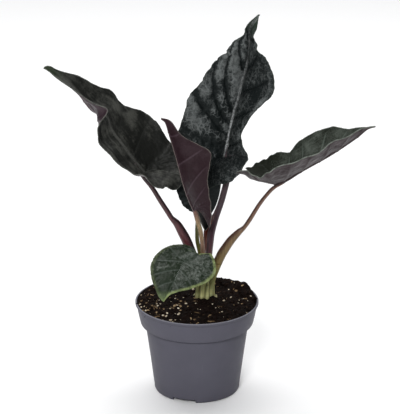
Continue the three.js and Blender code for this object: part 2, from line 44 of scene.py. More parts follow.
# The studio: a pale floor, a camera at the photo's height and tilt, a softbox beside the camera at the
# left, a dim one farther left, and a wide panel of light above and behind the plant.
CAMERA_PLACE = (3, -1790, 850)
CAMERA_TILT = 20.3
CAMERA_LENS = 173.5
CAMERA_SENSOR = 36
CAMERA_REACH = 100
FLOOR_SIZE = 12000
FLOOR_COLOUR = (0.98, 0.98, 0.98)
FLOOR_PALER = 1.01
FLOOR_ROUGHNESS = 0.9
FLOOR_GRAIN = {"Scale": 3.0, "Detail": 2.0}
WORLD_COLOUR = (0.94, 0.96, 1.0)
WORLD_STRENGTH = 0.15
SOFTBOXES = {
    "key": dict(place=(-250, -1550, 1150), size=(480, 420), power=20),
    "fill": dict(place=(-1300, -900, 900), size=(900, 900), power=1.5),
    "panel": dict(place=(0, 900, 1900), size=(3200, 2200), power=56),
}
AIM = (10, 0, 180)


def millimetres(point):
    return Vector(point) * MM


def node(tree, kind, inputs=(), **settings):
    """A shader node of that kind, with its inputs and settings; an input is a value or a socket."""
    made = tree.nodes.new("ShaderNode" + kind)
    for name, value in settings.items():
        setattr(made, name, value)
    for socket, value in dict(inputs).items():
        if isinstance(value, bpy.types.NodeSocket):
            tree.links.new(value, made.inputs[socket])
        else:
            made.inputs[socket].default_value = value
    return made


def new_material(name, **settings):
    """A material, its nodes and its surface shader. The settings go on the shader's own sockets."""
    material = bpy.data.materials.new(name)
    material.use_nodes = True
    shader = material.node_tree.nodes["Principled BSDF"]
    for socket, value in settings.items():
        shader.inputs[socket.replace("_", " ")].default_value = value
    return material, material.node_tree, shader


def mix_colour(tree, factor, first, second):
    """The colour between first and second at that factor. It and all values worked out are sockets."""
    mix = node(tree, "Mix", {"Factor": factor}, data_type="RGBA")
    for slot, colour in ((6, first), (7, second)):
        if isinstance(colour, bpy.types.NodeSocket):
            tree.links.new(colour, mix.inputs[slot])
        else:
            mix.inputs[slot].default_value = (*colour, 1)
    return mix.outputs[2]


def softbox(name, place, size, power):
    bpy.ops.object.light_add(type="AREA", location=millimetres(place))
    lamp = bpy.context.object
    lamp.name = name
    lamp.data.shape = "RECTANGLE"
    lamp.data.size = size[0] * MM
    lamp.data.size_y = size[1] * MM
    lamp.data.energy = power
    towards = millimetres(AIM) - lamp.location
    lamp.rotation_euler = towards.to_track_quat("-Z", "Y").to_euler()


for light_name, light in SOFTBOXES.items():
    softbox(light_name, **light)

bpy.ops.object.camera_add(location=millimetres(CAMERA_PLACE))
camera = bpy.context.object
camera.rotation_euler = (math.radians(90 - CAMERA_TILT), 0, 0)
camera.data.lens = CAMERA_LENS
camera.data.sensor_width = CAMERA_SENSOR
camera.data.clip_end = CAMERA_REACH
bpy.context.scene.camera = camera

bpy.ops.mesh.primitive_plane_add(size=FLOOR_SIZE * MM)
floor = bpy.context.object
floor.name = "floor"
floor_material, floor_tree, floor_shader = new_material("floor_paper", Roughness=FLOOR_ROUGHNESS)
floor_grain = node(floor_tree, "TexNoise", FLOOR_GRAIN).outputs["Fac"]
floor_tone = mix_colour(floor_tree, floor_grain, FLOOR_COLOUR, [tone * FLOOR_PALER for tone in FLOOR_COLOUR])
floor_tree.links.new(floor_tone, floor_shader.inputs["Base Color"])
floor.data.materials.append(floor_material)

world = bpy.data.worlds.new("studio")
world.use_nodes = True
world.node_tree.nodes["Background"].inputs["Color"].default_value = (*WORLD_COLOUR, 1)
world.node_tree.nodes["Background"].inputs["Strength"].default_value = WORLD_STRENGTH
bpy.context.scene.world = world
bpy.context.scene.view_settings.view_transform = "Standard"

# The pot: one injection moulding of grey-violet polypropylene with a satin skin. A collar and a lip
# stiffen its mouth, and three raised channels with drain holes lift its base off the bench. A highlight
# is painted pale along the top of the lip, and the wall inside it above the soil is coloured near black.
POT_SIDES = 160
POT_SMOOTH_ANGLE = 38
POT_RINGS = [
    (39.6, 0), (40.6, 0.25), (41.4, 0.9), (41.8, 2), (42.2, 6), (46.5, 40), (50.1, 67), (49.8, 68.4),
    (50.2, 69.2), (50.9, 69.5), (54.2, 69.8), (55.0, 70.3), (55.3, 71.3), (56.9, 78.5), (58.5, 87.2),
    (58.6, 88.5), (58.9, 88.9), (59.7, 89.1), (60, 89.5), (60, 90.9), (59.7, 91.3), (59.2, 91.5),
    (58.6, 91.4), (58.2, 91), (57.5, 87.5), (53.8, 71), (49.3, 70.6), (41, 8), (38.5, 5.4),
]
CHANNEL_TURNS = (-108, 12, 132)
CHANNEL_SIZE = (42, 23, 7.6)
CHANNEL_START = 18
DRAIN_HOLE_RADIUS = 4
DRAIN_HOLE_DEPTH = 30
DRAIN_HOLE_PLACE = 30
DRAIN_HOLE_SIDES = 32
POT_COLOUR = (0.087, 0.085, 0.107)
POT_COLOUR_WORN = (0.115, 0.112, 0.135)
# The colour of the painted highlight along the top of the lip.
POT_LIP_HIGHLIGHT = (0.22, 0.22, 0.25)
POT_COLOUR_INNER_WALL = (0.010, 0.0075, 0.0065)
POT_MOTTLE = 1.08
POT_LIP_HIGHLIGHT_HEIGHTS = (90.7, 91.3)
POT_INNER_WALL_RADII = (58.3, 58.6)
POT_INNER_WALL_HEIGHTS = (87.4, 87.8)


def times(tree, first, second):
    """One value times another."""
    return node(tree, "Math", {0: first, 1: second}, operation="MULTIPLY").outputs[0]


def spread(tree, value, low, high, start=0.0, end=1.0, smooth=False):
    """Value from low to high mapped to start to end and held there outside."""
    kind = "SMOOTHSTEP" if smooth else "LINEAR"
    inputs = {"Value": value, "From Min": low, "From Max": high, "To Min": start, "To Max": end}
    return node(tree, "MapRange", inputs, interpolation_type=kind).outputs["Result"]


def between(tree, length, limits, start=0.0, end=1.0):
    """How far a length is from one limit to the other, in millimetres, mapped as spread does."""
    return spread(tree, length, limits[0] * MM, limits[1] * MM, start, end)


def object_place(tree):
    """A point's place on the object, in metres."""
    return node(tree, "TexCoord").outputs["Object"]


def place_parts(tree):
    """A point's X, Y and Z on the object, in metres, as sockets."""
    return node(tree, "SeparateXYZ", {"Vector": object_place(tree)}).outputs


def grain(tree, scale, detail=3.0, squeeze=(1, 1, 1), rough=0.5):
    """Noise on the object's own coordinates, scale per metre."""
    mapped = node(tree, "Mapping", {"Vector": object_place(tree), "Scale": squeeze})
    inputs = {"Vector": mapped.outputs["Vector"], "Scale": scale, "Detail": detail, "Roughness": rough}
    return node(tree, "TexNoise", inputs).outputs["Fac"]


def finish_skin(tree, shader, colour, scale, detail, rough):
    """A shader's colour, and its roughness that wanders between two values over patches of that scale."""
    tree.links.new(colour, shader.inputs["Base Color"])
    tree.links.new(spread(tree, grain(tree, scale, detail), 0.3, 0.7, *rough), shader.inputs["Roughness"])


def bumps(tree, shader, height, strength, distance):
    """Fine relief on a shader, distance in millimetres."""
    inputs = {"Height": height, "Strength": strength, "Distance": distance * MM}
    tree.links.new(node(tree, "Bump", inputs).outputs["Normal"], shader.inputs["Normal"])


def pick(piece):
    """Selects this piece alone and makes it the active one."""
    bpy.ops.object.select_all(action="DESELECT")
    piece.select_set(True)
    bpy.context.view_layer.objects.active = piece


def cut_away(piece, cutter):
    """Cuts cutter out of piece and removes it."""
    cut = piece.modifiers.new("cut", "BOOLEAN")
    cut.object = cutter
    cut.solver = "EXACT"
    pick(piece)
    bpy.ops.object.modifier_apply(modifier=cut.name)
    bpy.data.objects.remove(cutter)


def pot_material():
    material, tree, shader = new_material("pot_plastic", Specular_IOR_Level=0.1)
    mottle = spread(tree, grain(tree, 45, 4), 0.35, 0.7)
    base = mix_colour(tree, mottle, POT_COLOUR, [tone * POT_MOTTLE for tone in POT_COLOUR])
    scuffs = spread(tree, grain(tree, 420, 5, (1, 1, 0.15)), 0.66, 0.8, 0, 0.35)
    base = mix_colour(tree, scuffs, base, POT_COLOUR_WORN)
    height = place_parts(tree)["Z"]
    # Painted highlight: the top of the lip is painted paler, where the light catches it.
    base = mix_colour(tree, between(tree, height, POT_LIP_HIGHLIGHT_HEIGHTS, 0, 0.8), base, POT_LIP_HIGHLIGHT)
    # Inside the lip and above the soil, the wall is coloured near black.
    flat = node(tree, "VectorMath", {0: object_place(tree), 1: (1, 1, 0)}, operation="MULTIPLY")
    radius = node(tree, "VectorMath", {0: flat.outputs[0]}, operation="LENGTH").outputs["Value"]
    inside = between(tree, radius, POT_INNER_WALL_RADII, 1, 0)
    inner_wall_dark = times(tree, inside, between(tree, height, POT_INNER_WALL_HEIGHTS))
    base = mix_colour(tree, inner_wall_dark, base, POT_COLOUR_INNER_WALL)
    finish_skin(tree, shader, base, scale=160, detail=4, rough=(0.4, 0.52))
    bumps(tree, shader, grain(tree, 1400, 3), strength=0.12, distance=0.12)
    return material


bpy.ops.mesh.primitive_circle_add(vertices=POT_SIDES, radius=POT_RINGS[0][0] * MM, fill_type="NGON")
pot = bpy.context.object
pot.name = "nursery_pot"
bpy.ops.object.mode_set(mode="EDIT")
for (before, low), (radius, high) in zip(POT_RINGS, POT_RINGS[1:]):
    bpy.ops.mesh.extrude_region_move(TRANSFORM_OT_translate={"value": (0, 0, (high - low) * MM)})
    share = radius / before
    bpy.ops.transform.resize(value=(share, share, 1), center_override=(0, 0, high * MM))
bpy.ops.mesh.select_all(action="SELECT")
bpy.ops.mesh.normals_make_consistent(inside=False)
bpy.ops.object.mode_set(mode="OBJECT")
for channel_turn in CHANNEL_TURNS:
    turn = Matrix.Rotation(math.radians(channel_turn), 4, "Z")
    channel_middle = CHANNEL_START + CHANNEL_SIZE[0] / 2
    bpy.ops.mesh.primitive_cube_add(size=1)
    channel = bpy.context.object
    channel.data.transform(Matrix.Diagonal((*[side * MM for side in CHANNEL_SIZE], 1)))
    channel.data.transform(turn @ Matrix.Translation((channel_middle * MM, 0, 0)))
    cut_away(pot, channel)
    bpy.ops.mesh.primitive_cylinder_add(
        vertices=DRAIN_HOLE_SIDES, radius=DRAIN_HOLE_RADIUS * MM, depth=DRAIN_HOLE_DEPTH * MM,
    )
    hole = bpy.context.object
    hole.data.transform(turn @ Matrix.Translation((DRAIN_HOLE_PLACE * MM, 0, 0)))
    cut_away(pot, hole)
pick(pot)
bpy.ops.object.shade_smooth_by_angle(angle=math.radians(POT_SMOOTH_ANGLE))
pot.data.materials.append(pot_material())
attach(pot, "root")
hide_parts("pot")

# The soil: moist dark peat with bark, filling the pot to its lip. It is heaped where the crown stands and
# along the back, and its top is loose and lumpy.
CROWN = (8, 8)
SOIL_SIDES = 220
SOIL_TOP_RINGS = 90
SOIL_RADIUS = 57.4
SOIL_HEIGHT = 88.3
SOIL_HEAPS = (
    (8, 6, 5.5, 24), (16, 50, 4.5, 8), (27, 45, 6, 9), (38, 38, 5, 9), (46, 29, 8, 9), (52, 17, 5, 8),
    (-38, 26, 2.5, 18), (-55, 2, 2.0, 14), (-46, 32, 1.5, 10),
)
SOIL_LUMPS = ((17, 1.6), (6, 1.5), (2.4, 0.9))
SOIL_WALL = ((57.3, 86.8), (53.5, 70.8), (49, 70.3), (40.8, 9), (38, 6))
SOIL_DARK = (0.0030, 0.0016, 0.0012)
SOIL_BROWN = (0.012, 0.0062, 0.0045)
SOIL_RUSTY = (0.030, 0.016, 0.009)
MERGE_DISTANCE = 0.01


def soil_height(x, y):
    """The height of the soil's top, with heaps and with lumps of three sizes."""
    height = SOIL_HEIGHT
    for heap_x, heap_y, rise, reach in SOIL_HEAPS:
        height += rise * math.exp(-((x - heap_x) ** 2 + (y - heap_y) ** 2) / reach ** 2)
    for size, rise in SOIL_LUMPS:
        height += rise * noise.noise(Vector((x / size, y / size, size)))
    return height


def sheet_of_rows(name, rows):
    """A grid with its rows of vertices moved to the rows of points given, in metres."""
    columns = len(rows[0]) - 1
    bpy.ops.mesh.primitive_grid_add(x_subdivisions=columns, y_subdivisions=len(rows) - 1, size=1)
    sheet = bpy.context.object
    sheet.name = name
    sheet.data.vertices.foreach_set("co", [value for row in rows for point in row for value in point])
    return sheet


def merge_doubles(piece):
    """Closes a piece's seams and poles."""
    pick(piece)
    bpy.ops.object.mode_set(mode="EDIT")
    bpy.ops.mesh.select_all(action="SELECT")
    bpy.ops.mesh.remove_doubles(threshold=MERGE_DISTANCE * MM)
    bpy.ops.object.mode_set(mode="OBJECT")


def ring_of_soil(radius, height=None):
    """One ring of soil; with no height given it lies on the soil's top."""
    ring = []
    for side in range(SOIL_SIDES + 1):
        angle = 2 * math.pi * (side % SOIL_SIDES) / SOIL_SIDES
        x, y = radius * math.cos(angle), radius * math.sin(angle)
        ring.append(millimetres((x, y, soil_height(x, y) if height is None else height)))
    return ring


def soil_material():
    material, tree, shader = new_material("potting_soil", Specular_IOR_Level=0.05)
    clods = spread(tree, grain(tree, 260, 6, rough=0.7), 0.42, 0.68)
    base = mix_colour(tree, clods, SOIL_DARK, SOIL_BROWN)
    fibres = spread(tree, grain(tree, 900, 4, (1, 0.35, 1)), 0.6, 0.75, 0, 0.8)
    base = mix_colour(tree, fibres, base, SOIL_RUSTY)
    finish_skin(tree, shader, base, scale=500, detail=3, rough=(0.55, 0.95))
    bumps(tree, shader, grain(tree, 700, 6, rough=0.75), strength=0.9, distance=1.2)
    return material


soil_rows = [ring_of_soil(SOIL_RADIUS * ring / SOIL_TOP_RINGS) for ring in range(SOIL_TOP_RINGS + 1)]
soil_rows += [ring_of_soil(radius, height) for radius, height in SOIL_WALL]
soil_rows.append(ring_of_soil(0, SOIL_WALL[-1][1]))
soil = sheet_of_rows("soil_fill", [row[::-1] for row in soil_rows])
merge_doubles(soil)
bpy.ops.object.shade_smooth()
soil.data.materials.append(soil_material())
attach(soil, "root")
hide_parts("soil")

# What is mixed into the soil: white perlite, tan bark chips, pale fibres and loose peat crumbs. They lie
# half sunk in its top, most of the pale ones at the left front.
CRUMBS = {
    "peat_clods": dict(count=170, size=(2, 6.5), shape=(1, 0.85, 0.75), sink=0.3, corners=2),
    "peat_crumbs": dict(count=1100, size=(0.8, 3.2), shape=(1, 0.8, 0.7), sink=0.1, corners=1),
    "bark_chips": dict(count=120, size=(0.9, 3.6), shape=(1.4, 0.8, 0.45), sink=0, corners=1),
    "perlite": dict(count=90, size=(0.9, 3.0), shape=(1, 0.85, 0.7), sink=0, corners=1),
    "fibres": dict(count=30, size=(2, 5), shape=(1.6, 0.16, 0.12), sink=-0.4, corners=1),
}
CRUMB_COLOURS = {
    "peat_clods": ((0.0024, 0.0015, 0.0012), (0.012, 0.0062, 0.0045)),
    "peat_crumbs": ((0.0022, 0.0014, 0.0011), (0.016, 0.0085, 0.0058)),
    "bark_chips": ((0.08, 0.048, 0.026), (0.42, 0.30, 0.17)),
    "perlite": ((0.40, 0.32, 0.22), (0.85, 0.76, 0.60)),
    "fibres": ((0.07, 0.04, 0.02), (0.35, 0.24, 0.13)),
}
PALE_CORNER = (-39, -14)
PALE_CORNER_REACH = 19
PALE_STRAYS = 0.25
CROWN_CLEARANCE = 13
EDGE_CLEARANCE = 1.2
SMALL_GRAINS = 1.3
GRAIN_CORNERS = (0.7, 1.25)
GRAIN_STRETCH = (0.8, 1.2)
GRAIN_TIP = 0.35
RIM_CLODS = ((57, 57, 3.0), (45, 57.5, 2.7), (69, 56.5, 2.0), (28, 57, 1.9), (4, 57.5, 2.0), (189, 59, 1.3))
RIM_CLOD_HEIGHT = 91.2


def crumb_model(name, corners, draw):
    """One grain, 1 mm in radius, as a rough lump with few faces."""
    bpy.ops.mesh.primitive_ico_sphere_add(subdivisions=corners, radius=MM)
    model = bpy.context.object
    model.name = name
    for corner in model.data.vertices:
        corner.co *= draw.uniform(*GRAIN_CORNERS)
    return model


def joined(name, pieces):
    """The pieces as one object, at the origin."""
    pick(pieces[0])
    for piece in pieces:
        piece.select_set(True)
    bpy.ops.object.join()
    pieces[0].name = name
    return pieces[0]


def crumb_place(draw, pale):
    """A place on the soil, clear of the crown; pale grains gather at the left front."""
    while True:
        angle = draw.uniform(0, 2 * math.pi)
        radius = (SOIL_RADIUS - EDGE_CLEARANCE) * math.sqrt(draw.random())
        x, y = radius * math.cos(angle), radius * math.sin(angle)
        from_corner = math.hypot(x - PALE_CORNER[0], y - PALE_CORNER[1])
        share = PALE_STRAYS + math.exp(-(from_corner / PALE_CORNER_REACH) ** 2)
        gathered = not pale or draw.random() < share
        if math.hypot(x - CROWN[0], y - CROWN[1]) > CROWN_CLEARANCE and gathered:
            return x, y


def crumb_copy(model, place, radius, shape, draw):
    """A copy of a grain at a place, turned, tipped and stretched at random."""
    turn = Matrix.Rotation(draw.uniform(0, 2 * math.pi), 4, "Z")
    tip = Matrix.Rotation(draw.gauss(0, GRAIN_TIP), 4, "X")
    scale = Matrix.Diagonal((*[side * radius * draw.uniform(*GRAIN_STRETCH) for side in shape], 1))
    crumb = model.copy()
    crumb.data = model.data.copy()
    crumb.data.transform(Matrix.Translation(millimetres(place)) @ turn @ tip @ scale)
    bpy.context.scene.collection.objects.link(crumb)
    return crumb


def scatter(name, count, size, shape, sink, corners):
    """Copies of a grain at random places and of random sizes on the soil, as one piece."""
    draw = random.Random(name)
    model = crumb_model(name, corners, draw)
    copies = []
    for _ in range(count):
        x, y = crumb_place(draw, "peat" not in name)
        radius = draw.uniform(*size) ** SMALL_GRAINS / size[1] ** (SMALL_GRAINS - 1) / 2
        place = (x, y, soil_height(x, y) - sink * radius)
        copies.append(crumb_copy(model, place, radius, shape, draw))
    if name == "peat_clods":
        for turned, reach, radius in RIM_CLODS:
            angle = math.radians(turned)
            place = (reach * math.cos(angle), reach * math.sin(angle), RIM_CLOD_HEIGHT)
            copies.append(crumb_copy(model, place, radius, shape, draw))
    bpy.data.objects.remove(model)
    return joined(name, copies)


def crumb_material(name, dark, pale):
    material, tree, shader = new_material(name, Roughness=0.9, Specular_IOR_Level=0.06)
    shades = spread(tree, grain(tree, 330, 3), 0.35, 0.65)
    tree.links.new(mix_colour(tree, shades, dark, pale), shader.inputs["Base Color"])
    bumps(tree, shader, grain(tree, 2500, 3), strength=0.5, distance=0.3)
    return material


for crumb_name, crumb in CRUMBS.items():
    crumbs = scatter(crumb_name, **crumb)
    crumbs.data.materials.append(crumb_material(crumb_name, *CRUMB_COLOURS[crumb_name]))
    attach(crumbs, "root")

# The leaf blades: thick, velvety leaves, nearly black on top. The midrib stands out below, the side veins
# are sunk between plump quilted fields, and a thin pale line runs round the edge.
BLADE_THICKNESS = 0.8
RIB_DEPTH = 1.6
RIB_WIDTH = 1.5
RIB_SINK = 0.25
FAR_FROM_RIB = 9.0
VEIN_DEPTH = 0.35
VEIN_WIDTH = 1.3
VEIN_BEND = 1.2
BEYOND_VEINS = 1.3
VALLEY_WIDTH = 3.6
VALLEY_DEPTH = 1.5
SHADE_WIDTH = 3.3
THICKEST = BLADE_THICKNESS + RIB_DEPTH + VEIN_DEPTH
FULL_RELIEF_WIDTH = 25
STEPS_ACROSS = 44
SCALLOP_LEVEL = 0.75
SCALLOP_WANDER = 24
CRINKLE_PLACE = 5
CRINKLE_CELL = 2.4
CRINKLE_FADE = 2.2
PUCKER_SEED = 5
PUCKER_SWAY = 0.35
PUCKER_STEEPNESS = 1.5
PUCKER_FULLNESS = 0.7
THINNEST_FIELD = 0.001
LOBE_EDGE_REACH = 1.8
FINE_NET_SWAY = (0.006, 0.006, 0.006)
PLAIN_LOOK = dict(
    field=1, vein_share=0.4, rib_width=1.0, rib_specks=0.2, rib_fade=(0.6, 0.9), edge_width=0.75,
    glint=(1, 1, 1), shine=0.15, velvet=0.02, rough=(0.42, 0.55), patch_scale=60, grain=0.15, streaks=0.08,
    flecks=0.12, net=0.1, net_gathers=(0.45, 0.6),
)


def half(**plan):
    """The plan of one half of a blade: sinus is its lobe's inner edge, from the lobe's tip to the petiole,
    lobe its outer edge, and edge the margin beside the rib, up to the blade's tip. A place along the blade
    is 0 at the petiole, 1 at the tip and below 0 on the lobe, and a place across is 0 at the rib and 1 at
    the margin. A vein has its places along at the rib and at the margin. A tone has its two places, its
    length, its breadth and how much paler it is, or darker below 0: partly the leaf's own patches, partly
    painted highlights and painted shade. A fold has its place across, its breadth and its rise; a nick
    its place along, its width and its depth."""
    return {"puckered": 1, "patchy": 1, "edge_light": 1, "folds": (), "nicks": (), **plan}


def on_path(points, at):
    """The point of the smooth curve through evenly numbered points; at counts the points."""
    last = len(points) - 1
    at = min(max(at, 0.0), last)
    start = min(int(at), last - 1)
    t = at - start
    here, there = points[start], points[start + 1]
    before = points[start - 1] if start > 0 else 2 * here - there
    after = points[start + 2] if start + 2 <= last else 2 * there - here
    leave = (there - before) / 2
    arrive = (after - here) / 2
    bend = 2 * here - 2 * there + leave + arrive
    swing = 3 * there - 3 * here - 2 * leave - arrive
    return bend * t ** 3 + swing * t ** 2 + leave * t + here


def vein_field(side, along, out):
    """A point's place from one side vein to the next, from 0 to 1, and how far off the nearer one is."""
    lines = [start + (end - start) * out ** VEIN_BEND for start, end in side["veins"]]
    number = sum(line <= along for line in lines)
    low, high = [-BEYOND_VEINS, *lines, BEYOND_VEINS][number:number + 2]
    share = (along - low) / max(high - low, THINNEST_FIELD)
    return share, min(share, 1 - share) * (high - low) * side["length"]


def margin_reach(leaf, side, along):
    """How far the margin swings out beyond its plain line, in millimetres: scallops, and nicks in them."""
    swell = max(0.0, math.sin(math.pi * vein_field(side, along, 1)[0]))
    place = Vector((along * SCALLOP_WANDER, leaf["rib"][0][0], side["camber"] * 50))
    wander = noise.noise(place) + 0.6 * noise.noise(place * 2.7)
    reach = leaf["scallop"] * (swell ** 0.5 - SCALLOP_LEVEL + wander)
    for middle, width, depth in side["nicks"]:
        reach -= depth * math.exp(-((along - middle) * side["length"] / width) ** 2)
    return reach


def half_rows(leaf, side):
    """One half of a blade as rows, each with its place along the leaf, its inner and its outer point."""
    lobe_rows, blade_rows = leaf["rows"]
    sinus = [millimetres(point) for point in (*side["sinus"], leaf["rib"][0])]
    rib = [millimetres(point) for point in leaf["rib"]]
    edge = [millimetres(point) for point in (*side["lobe"], *side["edge"])]
    side["length"] = sum((there - here).length for here, there in zip(rib, rib[1:])) / MM
    rows = []
    for row in range(lobe_rows + blade_rows + 1):
        along = (row - lobe_rows) / (lobe_rows if row < lobe_rows else blade_rows)
        if along < 0:
            inner = on_path(sinus, (along + 1) * len(side["sinus"]))
            outer = on_path(edge, (along + 1) * len(side["lobe"]))
        else:
            inner = on_path(rib, along * (len(rib) - 1))
            outer = on_path(edge, len(side["lobe"]) + along * (len(side["edge"]) - 1))
        across = outer - inner
        reach = margin_reach(leaf, side, along) * min(1.0, across.length / MM / FULL_RELIEF_WIDTH)
        rows.append((along, inner, outer + across.normalized() * reach * MM))
    return rows


def relief(leaf, side, along, out, width, place):
    """How far the blade's top stands off its plain form, without ripples, and how near a side vein is."""
    from_vein = vein_field(side, along, out)[1]
    calm = leaf["lobe_relief"] if along < 0 else 1
    inland = min(1.0, out * 6, (1.02 - out) * 6)
    lift = calm * leaf["quilt"] * (1 - VALLEY_DEPTH * math.exp(-from_vein / VALLEY_WIDTH)) * inland
    for cell, rise in leaf["puckers"]:
        spot = place / (cell * MM)
        nearest, second = noise.voronoi(spot + PUCKER_SWAY * noise.noise_vector(spot))[0][:2]
        dome = min(1.0, (second - nearest) * PUCKER_STEEPNESS) ** PUCKER_FULLNESS
        lift += calm * side["puckered"] * rise * (dome - 0.5 + noise.noise(spot * 1.3)) * inland
    crinkle = math.exp(-((out * width - CRINKLE_PLACE) / CRINKLE_PLACE) ** 2)
    crinkle *= max(0.0, 1 - abs(along) * CRINKLE_FADE)
    lift += leaf["crinkle"] * crinkle * noise.noise(place / (CRINKLE_CELL * MM))
    for middle, breadth, rise in side["folds"]:
        fade = max(0.0, min(1.0, along * 6, (0.95 - along) * 4))
        lift += rise * fade * math.exp(-((out - middle) * width / breadth) ** 2)
    vein = max(0.0, 1 - from_vein / VEIN_WIDTH) * min(1.0, (1.05 - out) * 3, width / 12)
    return lift * min(1.0, width / FULL_RELIEF_WIDTH), vein


def tone_and_painted_light_at(leaf, side, along, out, width):
    """How much paler a point is than its field, or darker if below 0: soft patches, partly the leaf's own
    and partly painted light and shade, and painted shade in the vein valleys.
    """
    shade = math.exp(-(vein_field(side, along, out)[1] / SHADE_WIDTH) ** 2)
    # Painted shade: the vein valleys are painted darker.
    tone = -leaf["valley_shade"] * side["patchy"] ** 2 * shade
    # Tone patches: partly the leaf's own paler and darker patches, partly painted highlights and painted
    # shadows.
    for middle, across, length, breadth, share in side["tones"]:
        from_middle = (along - middle) * side["length"] / length
        from_line = (out - across) * width / breadth
        tone += share * math.exp(-(from_middle ** 2 + from_line ** 2))
    return tone


def blade_point(leaf, side, along, out, width, place):
    """How far a point of the blade is lifted, and what the material and the thickness need there."""
    raised, vein = relief(leaf, side, along, out, width, place)
    rib = math.exp(-((out * width / RIB_WIDTH) ** 2)) if along >= 0 else 0
    ripple = side["ripple"] * out ** 3 * math.sin(2 * math.pi * side["ripples"] * along)
    lift = side["camber"] * width * 4 * out * (1 - out) - RIB_SINK * rib
    lift += raised * (1 - rib) + ripple * min(1.0, width / FULL_RELIEF_WIDTH)
    thickness = BLADE_THICKNESS + RIB_DEPTH * max(0, 1 - along) ** 0.8 * rib + VEIN_DEPTH * vein
    return lift, {
        "across": out * width,
        "from_rib": out * width if along >= 0 else FAR_FROM_RIB,
        "from_edge": min(1 - out, LOBE_EDGE_REACH * out if along < 0 else 1) * width,
        "edge_light": side["edge_light"],
        "vein": vein,
        "along": along,
        # Painted highlight: raised fields are painted paler, less so on a half with low patchy.
        "raised": min(1.0, max(0.0, 0.5 + 0.45 * raised)) * side["patchy"],
        "tone": tone_and_painted_light_at(leaf, side, along, out, width),
        "thickness": thickness / THICKEST,
    }


def set_mark(piece, name, values):
    """Gives each point of a piece's mesh a value under that name."""
    piece.data.attributes.new(name, "FLOAT", "POINT").data.foreach_set("value", values)


def half_blade(name, leaf, side, mirror):
    """One half of a blade as a sheet, with its marks at each point."""
    rows = half_rows(leaf, side)
    sheet, marks = [], []
    for number, (along, inner, outer) in enumerate(rows):
        before, after = rows[max(number - 1, 0)], rows[min(number + 1, len(rows) - 1)]
        forward = after[1] + after[2] - before[1] - before[2]
        across = outer - inner
        up = forward.cross(across).normalized() * mirror
        sheet.append([])
        for step in range(STEPS_ACROSS + 1):
            out = step / STEPS_ACROSS
            place = inner + across * out
            lift, values = blade_point(leaf, side, along, out, across.length / MM, place)
            sheet[-1].append(place + up * (lift + BLADE_THICKNESS / 2) * MM)
            marks.append(values)
    made = sheet_of_rows(name, sheet)
    for mark_name in marks[0]:
        set_mark(made, mark_name, [values[mark_name] for values in marks])
    if mirror > 0:
        made.data.flip_normals()
    return made


def blade(name, leaf, top_material, under_material):
    """A whole blade: its halves joined at the rib and thickened downwards, so that ribs stand out below."""
    left = half_blade(name, leaf, leaf["left"], 1)
    right = half_blade(name + "_right", leaf, leaf["right"], -1)
    whole = joined(name, [left, right])
    merge_doubles(whole)
    group = whole.vertex_groups.new(name="thickness")
    for number, value in enumerate(whole.data.attributes["thickness"].data):
        group.add([number], value.value, "REPLACE")
    whole.data.materials.append(top_material)
    whole.data.materials.append(under_material)
    wall = whole.modifiers.new("wall", "SOLIDIFY")
    wall.thickness = THICKEST * MM
    wall.offset = -1
    wall.vertex_group = group.name
    wall.material_offset = 1
    bpy.ops.object.modifier_apply(modifier=wall.name)
    bpy.ops.object.shade_smooth()
    return whole


def mark(tree, name):
    """The value that a piece's mesh carries under that name."""
    return node(tree, "Attribute", attribute_name=name).outputs["Fac"]


def plus(tree, base, more, share=1.0, clamped=False):
    """One value plus a share of another; clamped holds it between 0 and 1."""
    inputs = {0: more, 1: share, 2: base}
    return node(tree, "Math", inputs, operation="MULTIPLY_ADD", use_clamp=clamped).outputs[0]


def streaks_along(tree):
    """Noise in lines beside the midrib, from -1 to 1."""
    place = node(tree, "CombineXYZ", {"X": mark(tree, "across"), "Y": mark(tree, "along")})
    drawn_out = node(tree, "Mapping", {"Vector": place.outputs[0], "Scale": (1, 16, 1)})
    inputs = {"Vector": drawn_out.outputs[0], "Scale": 0.42, "Detail": 3.0}
    lines = node(tree, "TexNoise", inputs).outputs["Fac"]
    return spread(tree, lines, 0.36, 0.64, -1, 1)


def fine_net(tree, gathers):
    """The net of the finest veins, 1 on its lines and gathered in patches; it is also used for painted
    glints on wrinkles.
    """
    place = object_place(tree)
    wander = node(tree, "TexNoise", {"Vector": place, "Scale": 170.0, "Detail": 2.0})
    sway = {0: wander.outputs["Color"], 1: FINE_NET_SWAY, 2: place}
    moved = node(tree, "VectorMath", sway, operation="MULTIPLY_ADD").outputs[0]
    inputs = {"Vector": moved, "Scale": 190.0}
    edges = node(tree, "TexVoronoi", inputs, feature="DISTANCE_TO_EDGE").outputs["Distance"]
    lines = spread(tree, edges, 0.02, 0.14, 1, 0)
    return times(tree, lines, spread(tree, grain(tree, 60, 2), *gathers))


def rib_share(tree, look):
    """How much of the midrib's colour shows: a speckled line that fades towards the tip."""
    width = look["rib_width"]
    line = spread(tree, mark(tree, "from_rib"), width * 0.5, width, 0.9, 0)
    fade = spread(tree, mark(tree, "along"), *look["rib_fade"], 1, 0.3)
    specks = spread(tree, grain(tree, 620, 3), 0.4, 0.6, 1 - look["rib_specks"], 1)
    return times(tree, times(tree, line, fade), specks)


def edge_share(tree, look):
    """How much of the edge line's colour shows: weaker in places."""
    width = look["edge_width"]
    line = spread(tree, mark(tree, "from_edge"), width * 0.4, width, 0.9, 0)
    breaks = spread(tree, grain(tree, 260, 3), 0.4, 0.56, 0.5, 1)
    return times(tree, line, times(tree, breaks, mark(tree, "edge_light")))


